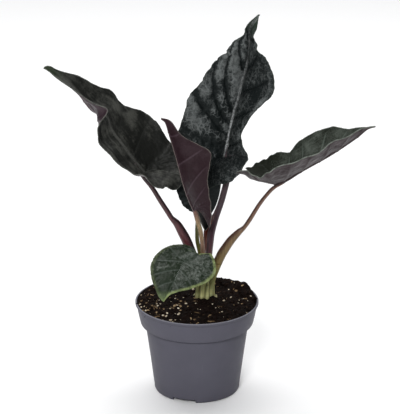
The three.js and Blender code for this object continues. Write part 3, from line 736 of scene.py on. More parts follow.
def leaf_material(name, **changes):
    """Leaf skin: a dark ground with a paler bloom in patches and streaks, painted highlights on raised
    fields and painted shade in the vein valleys, turning to another colour at the tip, with veins, midrib
    and edge line in their own colours."""
    look = {**PLAIN_LOOK, **changes}
    material, tree, shader = new_material(
        name, Specular_IOR_Level=look["shine"], Sheen_Weight=look["velvet"], Sheen_Roughness=0.4,
        Specular_Tint=(*look["glint"], 1),
    )
    patches = grain(tree, look["patch_scale"], 6, rough=0.65)
    patches = spread(tree, patches, 0.45, 0.61, 0, look["field"])
    # Painted highlight: raised fields take more of the pale colour.
    fields = times(tree, mark(tree, "raised"), patches)
    # Painted glints: the vein net is painted paler on raised fields, standing in for highlights on wrinkles.
    net = times(tree, fine_net(tree, look["net_gathers"]), mark(tree, "raised"))
    tone = plus(tree, mark(tree, "tone"), streaks_along(tree), look["streaks"])
    tone = plus(tree, tone, net, look["net"])
    fine = spread(tree, grain(tree, 950, 4), 0.35, 0.65, -look["flecks"], look["flecks"])
    lit = plus(tree, plus(tree, fields, tone), fine, clamped=True)
    base = mix_colour(tree, lit, look["ground"], look["bloom"])
    base = mix_colour(tree, spread(tree, mark(tree, "along"), 0.78, 1.0), base, look["tip"])
    veins = spread(tree, mark(tree, "vein"), 0.2, 1.0, 0, look["vein_share"])
    base = mix_colour(tree, veins, base, look["vein"])
    base = mix_colour(tree, rib_share(tree, look), base, look["rib"])
    base = mix_colour(tree, edge_share(tree, look), base, look["edge"])
    finish_skin(tree, shader, base, scale=130, detail=4, rough=look["rough"])
    cells = node(tree, "TexVoronoi", {"Vector": object_place(tree), "Scale": 560.0})
    skin = plus(tree, cells.outputs["Distance"], grain(tree, 1500, 3))
    bumps(tree, shader, skin, strength=look["grain"], distance=0.35)
    return material


# The vector noise that sways the puckers starts from the clock unless it is given a seed.
noise.seed_set(PUCKER_SEED)
UNDERSIDE = dict(
    ground=(0.027, 0.013, 0.019), bloom=(0.05, 0.029, 0.038), tip=(0.05, 0.03, 0.03),
    vein=(0.09, 0.06, 0.07), vein_share=0.5, rib=(0.085, 0.045, 0.045), rib_width=1.8,
    edge=(0.15, 0.14, 0.13), edge_width=1.1, shine=0.35, velvet=0.04, patch_scale=70,
)

# The tall leaf at the back: nearly black with a teal-grey shine, the most quilted of all. It leans to the
# right, its right half turned away, and a small green drip tip stands on its neck.
TALL_LEAF = dict(
    rib=[(27, 31, 228), (31, 32, 247), (35, 35, 267), (40, 38, 285), (44, 39, 303), (48, 38, 319),
        (50, 35, 338), (50, 33, 350), (53, 30, 361), (58.5, 26.5, 370)],
    left=half(
        sinus=[(12, 19, 171), (17.5, 20, 180), (21.5, 21.5, 192), (23.5, 23, 206), (23.5, 25.5, 218)],
        lobe=[(11, 19, 170), (2, 18, 174), (-9, 18, 179), (-17, 19, 188), (-20, 20, 204)],
        edge=[(-28, 20, 222), (-21, 22, 245), (-14.5, 22, 268.5), (-9, 23, 287), (1.5, 24, 303),
            (12.5, 25, 320), (24, 26, 331), (32, 28, 341.5), (43.5, 29, 349.5), (45.5, 29, 356.5),
            (51, 28, 364.5), (58, 26.5, 370.5)],
        veins=[(0, -0.75), (0, -0.45), (0, -0.15), (0.06, 0.16), (0.12, 0.34), (0.17, 0.5), (0.24, 0.68),
            (0.5, 0.76), (0.72, 0.86)],
        camber=0.05, ripple=1.6, ripples=5.5, nicks=[(0.57, 1.6, 1.5), (0.38, 1.6, 1.2)],
        # Among the tones: a painted shadow over the lobes and painted highlights beside the midrib, with the
        # field's paler patches.
        tones=[(0.58, 0.54, 15, 6, 0.5), (0.5, 0.32, 12, 4, 0.35), (0.47, 0.85, 12, 6, 0.4),
            (0.39, 0.68, 12, 6, 0.4), (0.4, 0.12, 9, 4, 0.45), (0.32, 0.18, 9, 3, 0.25),
            (0.31, 0.42, 8, 4, 0.35), (0.23, 0.86, 14, 7, 0.65), (0.15, 0.66, 13, 8, 0.5),
            (0.27, 0.66, 9, 6, -0.4), (0.21, 0.36, 12, 8, -0.3), (0.16, 0.1, 10, 4, 0.9),
            (0.05, 0.26, 10, 10, -0.6), (0.66, 0.12, 14, 4, -0.4), (-0.6, 0.5, 70, 60, -1.5)],
    ),
    right=half(
        sinus=[(11, 14, 202), (13, 18, 210), (15, 22, 219), (18, 25, 223), (22, 28, 225)],
        lobe=[(11.5, 13, 201.5), (22, 10, 207), (30.5, 8, 209.5), (38.5, 8, 216), (44.5, 9, 224.5)],
        edge=[(49, 11, 235.5), (44.5, 15, 246.5), (43, 18, 256.5), (52, 16, 272), (63.5, 12, 287),
            (72, 9, 300), (73, 9, 315.5), (65.5, 13, 331.5), (57.5, 19, 337.5), (58, 21, 343),
            (53.5, 25, 348.5), (57, 27, 357.5), (58.5, 26.5, 370.5)],
        veins=[(0, -0.6), (0, -0.3), (0.06, 0.1), (0.2, 0.3), (0.36, 0.5), (0.52, 0.66), (0.7, 0.82)],
        camber=0.09, ripple=0.8, ripples=4.5, puckered=0.35, patchy=0.4, folds=[(0.9, 3, 1.2)],
        # Among the tones: a painted sheen along the fold near the top.
        tones=[(0.3, 0.5, 150, 60, -0.05), (0.66, 0.18, 9, 1.5, 0.8), (0.33, 0.93, 8, 2, 0.7),
            (0.44, 0.9, 14, 1.6, 0.5), (-0.3, 0.7, 12, 9, 0.15), (-0.55, 0.6, 10, 8, 0.1),
            (0.1, 0.85, 10, 3, 0.3)],
    ),
    rows=(50, 190), quilt=1.5, scallop=1.2, puckers=((8, 0.9), (4, 0.4)), lobe_relief=0.12, crinkle=1.2,
    valley_shade=0.7,
)
tall_blade = blade("tall_blade", TALL_LEAF, leaf_material(
    "leaf_black", ground=(0.0072, 0.0096, 0.0096), bloom=(0.128, 0.138, 0.136), tip=(0.02, 0.036, 0.022),
    vein=(0.004, 0.006, 0.006), vein_share=0.8, rib=(0.6, 0.62, 0.62), rib_width=2.7, rib_specks=0.75,
    rib_fade=(0.15, 0.8), edge=(0.03, 0.04, 0.03), edge_width=0.8, glint=(0.93, 1, 1), shine=0.16,
    velvet=0.01, rough=(0.28, 0.38), patch_scale=90, field=0.62, grain=0.8, streaks=0.12, flecks=0.22,
    net=1.0, net_gathers=(0.36, 0.52),
), leaf_material("tall_underside", **UNDERSIDE))
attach(tall_blade, "root")
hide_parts("blade_tall")

# The leaf that reaches out to the left: dark olive grey, seen half from above, with its near half
# curled so that a strip of its purple underside shows before the tip.
LEFT_LEAF = dict(
    rib=[(-50, 2, 222), (-62, -3, 239), (-72, -8, 256), (-80, -11, 269), (-84, -12, 282), (-97.5, -15, 290),
        (-109, -17, 306), (-121, -20, 321), (-131, -23, 331), (-140.5, -26.5, 334)],
    left=half(
        sinus=[(-15, -13, 216), (-15, -10, 223), (-24, -7, 225), (-35, -3, 226), (-44, 0, 225)],
        lobe=[(-14.5, -14, 216), (-20, -18, 212), (-26, -22, 214), (-30, -25, 218), (-32.5, -27, 215.5),
            (-42, -31, 222.5), (-52, -33, 232)],
        edge=[(-61, -36, 235.5), (-70, -39, 241.5), (-80, -42, 256), (-91, -43, 266), (-90.5, -43, 278),
            (-88, -41, 286.5), (-83, -36, 297), (-98, -34, 305), (-125, -27, 321), (-135, -27, 330),
            (-140.5, -27, 334)],
        veins=[(0, -0.65), (0, -0.3), (0.1, 0.14), (0.26, 0.34), (0.44, 0.54), (0.62, 0.72), (0.8, 0.88)],
        camber=-0.08, ripple=1.2, ripples=4, puckered=0.7,
        folds=[(0.3, 2.5, 1.1), (0.62, 3, -0.9), (0.85, 2, 0.7)],
        tones=[(0.3, 0.5, 80, 30, 0.12), (0.3, 0.25, 30, 2, 0.5), (0.25, 0.6, 35, 2, -0.3),
            (0.2, 0.82, 35, 2, 0.5)],
    ),
    right=half(
        sinus=[(-7, 3, 211), (-12, 3, 212), (-20, 4, 213), (-30, 5, 217), (-41, 4, 220)],
        lobe=[(-6, 3, 212), (-3, 7, 217), (-4, 9, 226), (-9, 11, 237), (-18, 14, 243)],
        edge=[(-27.5, 18, 249.5), (-39.5, 21, 267.5), (-49, 21, 276), (-62.5, 17, 281.5), (-72.5, 12, 290),
            (-81.5, 6, 302), (-93.5, -1, 309.5), (-109.5, -11, 321.5), (-125.5, -20, 329),
            (-135.5, -26, 335.5), (-140.5, -26, 334.5)],
        veins=[(0, -0.65), (0, -0.3), (0.1, 0.14), (0.26, 0.36), (0.42, 0.56), (0.6, 0.74), (0.78, 0.88)],
        camber=-0.05, ripple=1.1, ripples=4.5,
        # Among the tones: painted shade on the far lobe, where the leaves in front shade it.
        tones=[(0.39, 0.74, 12, 4, 0.5), (0.14, 0.18, 3.5, 2.5, -0.6), (0.07, 0.16, 3, 2.5, -0.6),
            (0.04, 0.2, 3, 2.5, -0.5), (0.08, 0.35, 12, 8, -0.6), (0.0, 0.65, 16, 14, -0.4),
            (-0.18, 0.75, 35, 18, -0.6), (0.15, 0.7, 26, 10, 0.05)],
    ),
    rows=(50, 160), quilt=0.4, scallop=0.6, puckers=((10, 0.35), (4, 0.2)), lobe_relief=1, crinkle=1.0,
    valley_shade=0.1,
)
left_blade = blade("left_blade", LEFT_LEAF, leaf_material(
    "leaf_olive", ground=(0.0115, 0.0122, 0.0108), bloom=(0.068, 0.069, 0.061), tip=(0.034, 0.056, 0.026),
    vein=(0.04, 0.042, 0.038), rib=(0.085, 0.086, 0.078), rib_width=2.4, rib_specks=0.3,
    edge=(0.1, 0.105, 0.09), glint=(1, 1, 0.98), shine=0.12, velvet=0.01, rough=(0.38, 0.5), grain=0.3,
    streaks=0.2, flecks=0.14,
), leaf_material("left_underside", **UNDERSIDE))
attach(left_blade, "root")
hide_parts("blade_left")

# The young leaf at the centre front: still folded along its midrib, so that its maroon underside with
# pale side veins faces out, and its black inside shows at the open bottom.
ROLLED_LEAF = dict(
    rib=[(-2, -18, 192), (-6, -19, 201), (-12, -20, 219), (-17, -21, 239), (-22, -21, 257), (-26, -20, 271),
        (-29, -19, 279), (-33, -18, 282)],
    # Both halves have a tone of painted shade over the lobes inside the fold.
    left=half(
        sinus=[(11.5, -27, 177.5), (9.5, -26, 182.5), (6, -24, 188.5), (2.5, -21, 191.5)],
        lobe=[(12, -28, 177.5), (13.2, -32, 184.5), (13.7, -35, 194), (12.7, -37, 205)],
        edge=[(11.2, -39, 218), (9.6, -40, 229), (12.5, -41, 245), (12, -39, 256.5), (1, -35, 263),
            (-14, -29, 269), (-24, -22, 281), (-33, -18, 283)],
        veins=[(0, -0.82), (0, -0.64), (0, -0.48), (0, -0.32), (0, -0.16), (0.04, 0.1), (0.2, 0.3),
            (0.42, 0.5), (0.66, 0.74)],
        camber=-0.12, ripple=0.6, ripples=3, tones=[(-0.5, 0.5, 60, 60, -0.9)],
    ),
    right=half(
        sinus=[(7.5, -10, 168), (5, -12, 174), (3, -14, 180.5), (1, -16, 188)],
        lobe=[(9, -9, 167.5), (12, -2, 172), (12, 2, 181), (11, 4, 190)],
        edge=[(9, 6, 200), (7, 7, 212), (7, 7, 225), (4, 5, 238), (-6, 0, 249), (-18, -9, 263),
            (-25, -16, 278), (-33, -18, 282)],
        veins=[(0, -0.7), (0, -0.35), (0.04, 0.1), (0.24, 0.34), (0.46, 0.56), (0.7, 0.78)],
        camber=-0.1, ripple=0.6, ripples=3, tones=[(-0.5, 0.5, 60, 60, -0.9)],
    ),
    rows=(40, 110), quilt=0.35, scallop=0.5, puckers=((7, 0.2), (3, 0.08)), lobe_relief=1.5, crinkle=0.2,
    valley_shade=0,
)
rolled_blade = blade("rolled_blade", ROLLED_LEAF, leaf_material(
    "leaf_inside", ground=(0.0012, 0.0014, 0.0012), bloom=(0.024, 0.028, 0.025), tip=(0.02, 0.03, 0.02),
    vein=(0.006, 0.006, 0.006), rib=(0.1, 0.09, 0.08), edge=(0.13, 0.12, 0.1), edge_width=0.7, shine=0.04,
    velvet=0.0, rough=(0.4, 0.5), grain=0.3,
), leaf_material(
    "leaf_maroon", ground=(0.018, 0.007, 0.01), bloom=(0.034, 0.019, 0.024), tip=(0.026, 0.01, 0.014),
    vein=(0.095, 0.065, 0.08), vein_share=0.5, rib=(0.2, 0.16, 0.15), edge=(0.15, 0.13, 0.115),
    rough=(0.45, 0.6),
))
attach(rolled_blade, "root")
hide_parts("blade_rolled")

# The leaf that reaches out to the right: it is folded up like a boat, dark green inside, with its near
# half showing the purple-grey underside, a pale green edge line and a thin hooked tip.
RIGHT_LEAF = dict(
    rib=[(74, 0, 211), (85, -1, 216), (98, -2, 225), (111, -3, 233), (124, -4, 241), (137, -5, 250),
        (151, -7, 261), (160, -8, 269), (167.5, -10, 272)],
    left=half(
        sinus=[(47, 22, 219), (51, 12, 218), (56, 6, 216), (64, 3, 213), (70, 1, 212)],
        lobe=[(47, 22, 220), (53, 26, 219.5), (59, 30, 223), (65, 33, 224), (70.5, 35, 227)],
        edge=[(77, 37, 230), (87, 38, 229.5), (92, 38, 233.5), (101.5, 37, 243), (114.5, 33, 253.5),
            (130, 24, 260), (142.5, 10, 263.5), (153.5, -2, 268.5), (163.5, -8, 271), (167.5, -9, 272)],
        veins=[(0, -0.6), (0, -0.2), (0.1, 0.16), (0.25, 0.34), (0.42, 0.52), (0.58, 0.68), (0.75, 0.84)],
        camber=-0.06, ripple=1.0, ripples=4, patchy=0.6,
        tones=[(-0.5, 0.6, 40, 20, -0.5), (0.5, 0.6, 45, 20, 0.3), (0.35, 0.75, 4, 9, 0.6),
            (0.65, 0.85, 10, 6, 0.3)],
    ),
    right=half(
        sinus=[(37, -11, 226), (45, -9, 224), (51, -7, 219), (59, -4, 216), (67, -2, 213)],
        lobe=[(37, -12, 227), (43, -20, 232), (50, -27, 232), (57, -32, 229), (64, -34, 233)],
        edge=[(71, -35, 238), (84, -34, 243), (97, -32, 247), (111, -29, 251), (123, -26, 260),
            (136, -22, 264), (150, -15, 269.5), (159, -11, 271.5), (167.5, -10, 272.7)],
        veins=[(0, -0.6), (0, -0.2), (0.1, 0.16), (0.25, 0.34), (0.42, 0.52), (0.58, 0.68), (0.75, 0.84)],
        camber=-0.06, ripple=0.8, ripples=4, puckered=0.8,
        tones=[(0.02, 0.3, 14, 6, -0.6), (0.12, 0.6, 8, 4, -0.5), (0.3, 0.3, 14, 5, -0.4)],
    ),
    rows=(46, 150), quilt=0.7, scallop=0.6, puckers=((9, 0.5), (4, 0.2)), lobe_relief=0.6, crinkle=0.3,
    valley_shade=0.2,
)
right_blade = blade("right_blade", RIGHT_LEAF, leaf_material(
    "leaf_green", ground=(0.01, 0.012, 0.008), bloom=(0.076, 0.088, 0.074), tip=(0.08, 0.1, 0.078),
    vein=(0.11, 0.135, 0.115), vein_share=0.6, rib=(0.1, 0.12, 0.09), rib_width=1.4, edge=(0.18, 0.2, 0.175),
    edge_width=0.85, glint=(0.97, 1, 0.98), shine=0.02, velvet=0.01, rough=(0.38, 0.5), patch_scale=80,
    grain=0.3, streaks=0.1, flecks=0.18, net=0.25,
), leaf_material(
    "leaf_violet", ground=(0.026, 0.017, 0.019), bloom=(0.088, 0.074, 0.078), tip=(0.085, 0.07, 0.068),
    vein=(0.1, 0.085, 0.088), rib=(0.018, 0.007, 0.007), rib_width=4.0, edge=(0.18, 0.195, 0.17),
    edge_width=0.95, patch_scale=80, streaks=0.3,
))
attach(right_blade, "root")
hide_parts("blade_right")

# The first small leaf, low at the front: round, green with silvery veins that spread from where its
# petiole joins, and a bright green edge.
SMALL_LEAF = dict(
    rib=[(1, -12, 144), (-5, -16, 142), (-12, -19, 139), (-16, -22, 133), (-20, -25, 126), (-24, -28, 118),
        (-28, -31, 111), (-32, -33, 104)],
    left=half(
        sinus=[(12, -12, 145), (8, -12, 145), (4, -12, 145)],
        lobe=[(13, -12, 145), (15, -13, 143), (17, -14, 139)],
        edge=[(18, -16, 134), (18, -18, 128), (14, -21, 122), (6, -24, 118), (-5, -26, 114),
            (-15.5, -30, 113), (-25.5, -32, 110), (-32, -34, 104)],
        veins=[(0.22, -0.4), (0.26, 0.05), (0.3, 0.3), (0.45, 0.56), (0.65, 0.76)],
        camber=0.08, ripple=0.8, ripples=3.5,
        tones=[(0.3, 0.45, 14, 9, 0.15), (0.7, 0.6, 8, 6, -0.4), (0.1, 0.2, 9, 4, 0.7),
            (0.15, 0.6, 10, 2, 0.3)],
    ),
    right=half(
        sinus=[(-6, -10, 151), (-3, -10, 149), (-1, -12, 147)],
        lobe=[(-7, -10, 152), (-10, -9, 152), (-14, -9, 153)],
        edge=[(-21, -10, 153), (-30, -12, 151), (-40, -16, 144), (-44, -20, 136), (-44, -24, 127),
            (-41, -28, 118), (-37, -31, 109), (-33, -33, 104)],
        veins=[(0.22, -0.4), (0.26, 0.1), (0.3, 0.36), (0.45, 0.58), (0.65, 0.76)],
        camber=0.08, ripple=0.8, ripples=3.5, edge_light=0.2,
        tones=[(0.55, 0.3, 12, 8, -0.6), (0.1, 0.75, 14, 6, -0.4), (0.75, 0.5, 9, 8, -0.4),
            (0.12, 0.2, 8, 4, 0.7), (0.2, 0.6, 20, 12, -0.15)],
    ),
    rows=(24, 90), quilt=0.7, scallop=0.6, puckers=((6, 0.5), (2.6, 0.25)), lobe_relief=1, crinkle=0.3,
    valley_shade=0.2,
)
small_blade = blade("small_blade", SMALL_LEAF, leaf_material(
    "leaf_silver", ground=(0.009, 0.018, 0.007), bloom=(0.115, 0.13, 0.112), tip=(0.13, 0.18, 0.075),
    vein=(0.2, 0.23, 0.21), vein_share=0.25, rib=(0.06, 0.08, 0.06), rib_width=0.8, rib_specks=0.6,
    edge=(0.27, 0.33, 0.13), edge_width=4.0, shine=0.25, velvet=0.03, rough=(0.4, 0.5), patch_scale=260,
    grain=0.4, streaks=0.05, flecks=0.3, net=0.7,
), leaf_material(
    "small_underside", ground=(0.07, 0.1, 0.05), bloom=(0.1, 0.14, 0.08), tip=(0.1, 0.15, 0.06),
    vein=(0.14, 0.18, 0.1), vein_share=0.5, rib=(0.16, 0.2, 0.1), rib_width=1.5, edge=(0.15, 0.26, 0.08),
    edge_width=1.5, shine=0.4, velvet=0.05, patch_scale=100,
))
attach(small_blade, "root")
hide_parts("blade_small")

# The petioles and the new shoot: juicy round stalks, each opening into a sheath with thin wings lower
# down. Each point of a path is x, y, z, the half width and, where the sheath is open, how far.
CROWN_TOP = 132
STALK_STEPS = 90
OUTER_POINTS = 26
CHANNEL_POINTS = 11
SHEATH_LIP_ANGLE = 40
CHANNEL_SHARE = 0.62
THINNEST_STALK = 0.2
AIM_STEP = 0.05
CROWN_OVERLAP = 4
SHEATH_RIM_HEIGHTS = (118, 140)
STALKS = {
    "tall_petiole": dict(
        path=[(31, 31.5, 241, 1.0), (28.5, 28.5, 226, 2.2), (29.2, 28, 208, 3),
            (25.8, 26.5, 192, 3.1), (22.4, 26, 180, 3.1), (18.9, 25.5, 170.5, 3.4, 0.1),
            (15.2, 24, 162, 4.6, 0.5), (12.2, 21.5, 154.5, 5.6, 0.8), (11.6, 19, 147, 5, 0.6),
            (10.2, 15.5, 130, 4.6, 0.1), (9, 12, 104, 5), (9, 10, 87, 5)],
        open=(-0.85, -0.5, 0),
        colours={220: (0.03, 0.018, 0.024), 175: (0.05, 0.022, 0.033), 150: (0.07, 0.026, 0.04),
            132: (0.11, 0.045, 0.045), 110: (0.26, 0.25, 0.11)},
        lips=(0.075, 0.05, 0.056), inside=(0.2, 0.055, 0.028), replaces="petiole_tall", slot="stalk_purple",
    ),
    "left_petiole": dict(
        path=[(-59, -3, 233, 1.0), (-51.5, 1, 219, 2.0), (-42.8, 2, 207, 2.2),
            (-35.2, 2, 194, 2.35), (-28.5, 2, 183, 2.45), (-24.2, 2, 176, 2.6, 0.1),
            (-18.5, 2, 169.5, 3.9, 0.7), (-13.8, 2, 161, 4.7, 1), (-9.8, 2, 153, 5.0, 0.9),
            (-5.5, 2, 142, 5.0, 0.3), (0.5, 3, 124, 5.1), (3.6, 4.5, 104, 5.2), (4, 5.5, 87, 5.4)],
        open=(0.9, 0, 0.4),
        colours={220: (0.045, 0.026, 0.028), 190: (0.065, 0.03, 0.031), 165: (0.085, 0.026, 0.03),
            145: (0.1, 0.024, 0.028), 122: (0.15, 0.12, 0.05), 105: (0.17, 0.16, 0.06)},
        lips=(0.02, 0.009, 0.012), inside=(0.05, 0.018, 0.022), replaces="petiole_left", slot="stalk_purple",
    ),
    "rolled_petiole": dict(
        path=[(-4, -18.5, 198, 0.8), (-2, -16, 190, 2.0), (0.2, -14, 181, 2.2),
            (3.4, -10, 167, 2.2), (5.2, -6, 153, 2.1), (6, -3, 139, 2.5), (7.5, 0, 123, 3.4),
            (8, 2, 107, 4.2), (9, 3, 88, 4.6)],
        open=(0, 1, 0),
        colours={195: (0.12, 0.035, 0.045), 184: (0.19, 0.11, 0.07), 172: (0.26, 0.19, 0.095),
            150: (0.19, 0.11, 0.075), 115: (0.2, 0.17, 0.06)},
        lips=(0.2, 0.1, 0.07), inside=(0.3, 0.2, 0.1), replaces="petiole_rolled", slot="stalk_rose",
    ),
    "right_petiole": dict(
        path=[(83, -1, 213, 0.9), (73, 0.5, 207, 1.75), (65.8, 1, 198.7, 1.8),
            (60, 2, 190.2, 1.9), (55.2, 2, 182, 2.0), (50.4, 3, 173.2, 2.1),
            (45.2, 3.5, 165.5, 2.2, 0.2), (39.9, 3.5, 160.5, 3.2, 0.8), (32.7, 4.5, 152, 4.2, 1),
            (27.4, 5, 143.8, 4.6, 0.8), (22.6, 5, 135.4, 4.9, 0.2), (17.9, 6, 122.9, 4.6),
            (13.5, 7, 108, 4.6), (11.5, 8, 87, 4.8)],
        open=(-0.8, 0, 0.6),
        colours={212: (0.12, 0.065, 0.045), 185: (0.16, 0.085, 0.058), 165: (0.16, 0.09, 0.05),
            145: (0.17, 0.11, 0.045), 125: (0.2, 0.15, 0.05), 110: (0.2, 0.19, 0.06)},
        lips=(0.05, 0.02, 0.016), inside=(0.1, 0.04, 0.025), replaces="petiole_right", slot="stalk_tan",
    ),
    "small_petiole": dict(
        path=[(-12, -18, 137, 0.9), (-11, -16, 138.5, 1.6), (-9, -14, 140, 1.7),
            (-5, -9, 140, 1.8), (-2, -6, 134, 2), (0.5, -3, 124, 2.6), (4, 0, 109, 3.6),
            (7, 2, 88, 4)],
        open=(0, 1, 0), colours={140: (0.24, 0.27, 0.09), 110: (0.36, 0.37, 0.15)}, lips=(0.25, 0.28, 0.1),
        inside=(0.3, 0.3, 0.12), replaces="petiole_small", slot="stalk_green",
    ),
    "shoot": dict(
        path=[(-1, 8, 184, 0.3), (0, 8.5, 172, 1.3), (0, 9, 160, 1.8), (0.5, 9, 149, 2.0),
            (3, 9, 137, 2.2), (5, 8.5, 122, 2.6), (7, 7, 106, 3), (8, 7, 88, 3)],
        open=(0, 1, 0),
        colours={184: (0.07, 0.065, 0.02), 160: (0.085, 0.085, 0.022), 135: (0.1, 0.085, 0.015)},
        lips=(0.12, 0.12, 0.03), inside=(0.2, 0.2, 0.05), replaces="new_shoot", slot="stalk_green",
    ),
}


def stalk_section(openness):
    """The outline of a stalk with half width 1: round, or open to a sheath along +Y, from lip to lip."""
    lip = math.radians(SHEATH_LIP_ANGLE)
    outline = []
    for number in range(OUTER_POINTS):
        angle = lip + number / (OUTER_POINTS - 1) * 2 * (math.pi - lip)
        outline.append(Vector((math.sin(angle), math.cos(angle))))
    for number in range(1, CHANNEL_POINTS + 1):
        part = number / (CHANNEL_POINTS + 1)
        closed = lip * (2 * part - 1)
        channel = -lip - part * 2 * (math.pi - lip)
        round_point = Vector((math.sin(closed), math.cos(closed)))
        hollow = Vector((math.sin(channel), math.cos(channel))) * CHANNEL_SHARE
        outline.append(round_point.lerp(hollow, openness))
    return outline + [outline[0]]


def stalk_ring(places, sizes, opening, at):
    """The points round a stalk at one place of its path, with how much each is inside and near a lip."""
    middle = on_path(places, at)
    forward = (on_path(places, at + AIM_STEP) - on_path(places, at - AIM_STEP)).normalized()
    upwards = Vector(opening)
    upwards = (upwards - forward * upwards.dot(forward)).normalized()
    sideways = forward.cross(upwards)
    size = on_path(sizes, at)
    openness = min(max(size.y, 0), 1)
    outline = stalk_section(openness)
    half_width = max(size.x, THINNEST_STALK) * MM
    ring = [middle + (sideways * point.x + upwards * point.y) * half_width for point in outline]
    inside = [0] * OUTER_POINTS + [openness] * CHANNEL_POINTS + [0]
    return ring, inside, [point.y for point in outline]


def stalk(name, path, opening, start, end):
    """A stalk along the part of its path from start to end, counted in path points, with closed ends."""
    places = [millimetres(point[:3]) for point in path]
    sizes = [Vector((*point[3:], 0, 0)[:3]) for point in path]
    steps = [start + (end - start) * step / STALK_STEPS for step in range(STALK_STEPS + 1)]
    rings, inside, lips = zip(*[stalk_ring(places, sizes, opening, at) for at in steps])
    first, last = ([on_path(places, at)] * len(rings[0]) for at in (start, end))
    made = sheet_of_rows(name, [first, *rings, last])
    for mark_name, marks in (("inside", inside), ("lips", lips)):
        set_mark(made, mark_name, [value for row in (marks[0], *marks, marks[-1]) for value in row])
    merge_doubles(made)
    bpy.ops.object.shade_smooth()
    return made


def height_at(path, height):
    """How many path points down a stalk it comes to that height."""
    for number in range(len(path) - 1, 0, -1):
        low, high = path[number][2], path[number - 1][2]
        if low <= height <= high:
            return number - (height - low) / (high - low)
    return 0


def streaked(tree, colour, scale, squeeze, darkest):
    """A colour with fine darker and paler streaks up and down a stalk."""
    streaks = spread(tree, grain(tree, scale, 4, (1, 1, squeeze)), 0.35, 0.7, darkest, 1.2)
    return node(tree, "VectorMath", {0: colour, 1: streaks}, operation="MULTIPLY").outputs[0]


def stalk_material(name, colours, lips, inside):
    """Stalk skin: its colour changes with height and towards the lips, with fine streaks along it."""
    material, tree, shader = new_material(
        name, Subsurface_Weight=0.06, Subsurface_Scale=0.0015, Coat_Weight=0.08, Coat_Roughness=0.25,
        Specular_IOR_Level=0.28,
    )
    height = place_parts(tree)["Z"]
    levels = sorted(colours)
    base = colours[levels[0]]
    for low, high in zip(levels, levels[1:]):
        base = mix_colour(tree, between(tree, height, (low, high)), base, colours[high])
    rims = spread(tree, mark(tree, "lips"), -0.1, 0.8, 0, 0.85, smooth=True)
    rims = times(tree, rims, between(tree, height, SHEATH_RIM_HEIGHTS))
    base = streaked(tree, mix_colour(tree, rims, base, lips), scale=600, squeeze=0.08, darkest=0.72)
    base = mix_colour(tree, mark(tree, "inside"), base, inside)
    finish_skin(tree, shader, base, scale=300, detail=3, rough=(0.32, 0.48))
    bumps(tree, shader, grain(tree, 1100, 3, (1, 1, 0.15)), strength=0.2, distance=0.2)
    return material


for stalk_name, plan in STALKS.items():
    foot = height_at(plan["path"], CROWN_TOP - CROWN_OVERLAP)
    standing = stalk(stalk_name, plan["path"], plan["open"], 0, foot)
    standing.data.materials.append(stalk_material(stalk_name, plan["colours"], plan["lips"], plan["inside"]))
    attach(standing, "root")
    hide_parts(plan["replaces"])

# The crown: the fleshy base where the sheaths of all stalks wrap each other, pale yellow green, with
# creases between them. It is one grown piece, sunk in the soil.
CROWN_VOXEL = 0.55
CROWN_STUB_RADIUS = 10.6
CROWN_STUB_HEIGHTS = (80, 92.5)
CROWN_STUB_SIDES = 48
CROWN_SOFTENING = 4
CROWN_CREASES = (-160, -127, -93, -58, -20, 30, 75, 120)
CREASE_WIDTH = 7
CREASE_DEPTH = 0.16
CREASE_TWIST = 0.8
CREASE_FOOT = 95
CREASE_TOP = 128
CREASE_FADE = 20
CROWN_FLARE = 0.13
FLARE_HEIGHT = 91
FLARE_REACH = 6
CROWN_PALE = (0.52, 0.52, 0.24)
CROWN_GREEN = (0.32, 0.32, 0.11)
# The colour of the painted shade in the creases between the sheaths.
CROWN_CREASE_SHADE = (0.055, 0.050, 0.012)
CROWN_TAN = (0.30, 0.20, 0.09)
CROWN_PURPLE = (0.12, 0.05, 0.05)
CROWN_SOILED = (0.10, 0.07, 0.035)
CROWN_SOILED_HEIGHTS = (91, 97)
CROWN_GREEN_HEIGHTS = (96, 116)
CROWN_UPPER_HEIGHTS = (116, 131)
CROWN_TAN_PLACES = (5, 12)


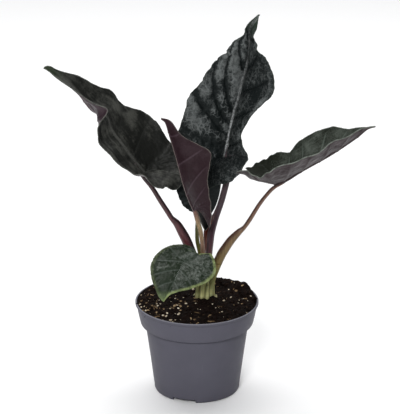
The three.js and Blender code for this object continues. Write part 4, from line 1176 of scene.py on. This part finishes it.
def crown_material():
    """Crown skin: pale at the soil, green above, turning tan on the right and purple on the left,
    with painted shade darkening the creases between the sheaths.
    """
    material, tree, shader = new_material(
        "crown_skin", Subsurface_Weight=0.08, Subsurface_Scale=0.002, Coat_Weight=0.06, Coat_Roughness=0.3,
        Specular_IOR_Level=0.28,
    )
    place = place_parts(tree)
    upper = mix_colour(tree, between(tree, place["X"], CROWN_TAN_PLACES), CROWN_PURPLE, CROWN_TAN)
    base = mix_colour(tree, between(tree, place["Z"], CROWN_GREEN_HEIGHTS), CROWN_PALE, CROWN_GREEN)
    base = mix_colour(tree, between(tree, place["Z"], CROWN_UPPER_HEIGHTS), base, upper)
    base = mix_colour(tree, between(tree, place["Z"], CROWN_SOILED_HEIGHTS, 0.8, 0), base, CROWN_SOILED)
    # Painted shade: the creases between the sheaths are painted dark.
    base = mix_colour(tree, spread(tree, mark(tree, "crease"), 0.3, 1.0, 0, 0.65), base, CROWN_CREASE_SHADE)
    base = streaked(tree, base, scale=520, squeeze=0.06, darkest=0.7)
    finish_skin(tree, shader, base, scale=300, detail=3, rough=(0.35, 0.5))
    bumps(tree, shader, grain(tree, 900, 3, (1, 1, 0.1)), strength=0.25, distance=0.3)
    return material


def crease_at(point):
    """How deep a point of the crown lies in the creases between the sheaths, from 0 to 1."""
    turned = math.degrees(math.atan2(point.y - CROWN[1], point.x - CROWN[0]))
    depth = 0.0
    for crease in CROWN_CREASES:
        apart = (turned - crease - CREASE_TWIST * (point.z - CREASE_FOOT) + 180) % 360 - 180
        depth += math.exp(-(apart / CREASE_WIDTH) ** 2)
    return min(1.0, depth) * min(1.0, max(0.0, (CREASE_TOP - point.z) / CREASE_FADE))


crown_parts = []
for stalk_name, plan in STALKS.items():
    shoulder = height_at(plan["path"], CROWN_TOP)
    foot = len(plan["path"]) - 1
    crown_parts.append(stalk(stalk_name + "_base", plan["path"], plan["open"], shoulder, foot))
stub_low, stub_high = CROWN_STUB_HEIGHTS
bpy.ops.mesh.primitive_cylinder_add(
    vertices=CROWN_STUB_SIDES, radius=CROWN_STUB_RADIUS * MM, depth=(stub_high - stub_low) * MM,
    location=millimetres((*CROWN, (stub_low + stub_high) / 2)),
)
bpy.ops.object.transform_apply(location=True)
crown_parts.append(bpy.context.object)
crown = joined("crown_base", crown_parts)
crown.data.remesh_voxel_size = CROWN_VOXEL * MM
bpy.ops.object.voxel_remesh()
soften = crown.modifiers.new("soften", "SMOOTH")
soften.iterations = CROWN_SOFTENING
bpy.ops.object.modifier_apply(modifier=soften.name)
bpy.ops.object.shade_smooth()
creases = [crease_at(point.co / MM) for point in crown.data.vertices]
set_mark(crown, "crease", creases)
for point, crease in zip(crown.data.vertices, creases):
    axis = Vector((CROWN[0] * MM, CROWN[1] * MM, point.co.z))
    flare = CROWN_FLARE * math.exp(-((point.co.z / MM - FLARE_HEIGHT) / FLARE_REACH) ** 2)
    point.co = point.co.lerp(axis, CREASE_DEPTH * crease - flare)
crown.data.materials.clear()
crown.data.materials.append(crown_material())
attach(crown, "root")
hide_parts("crown")
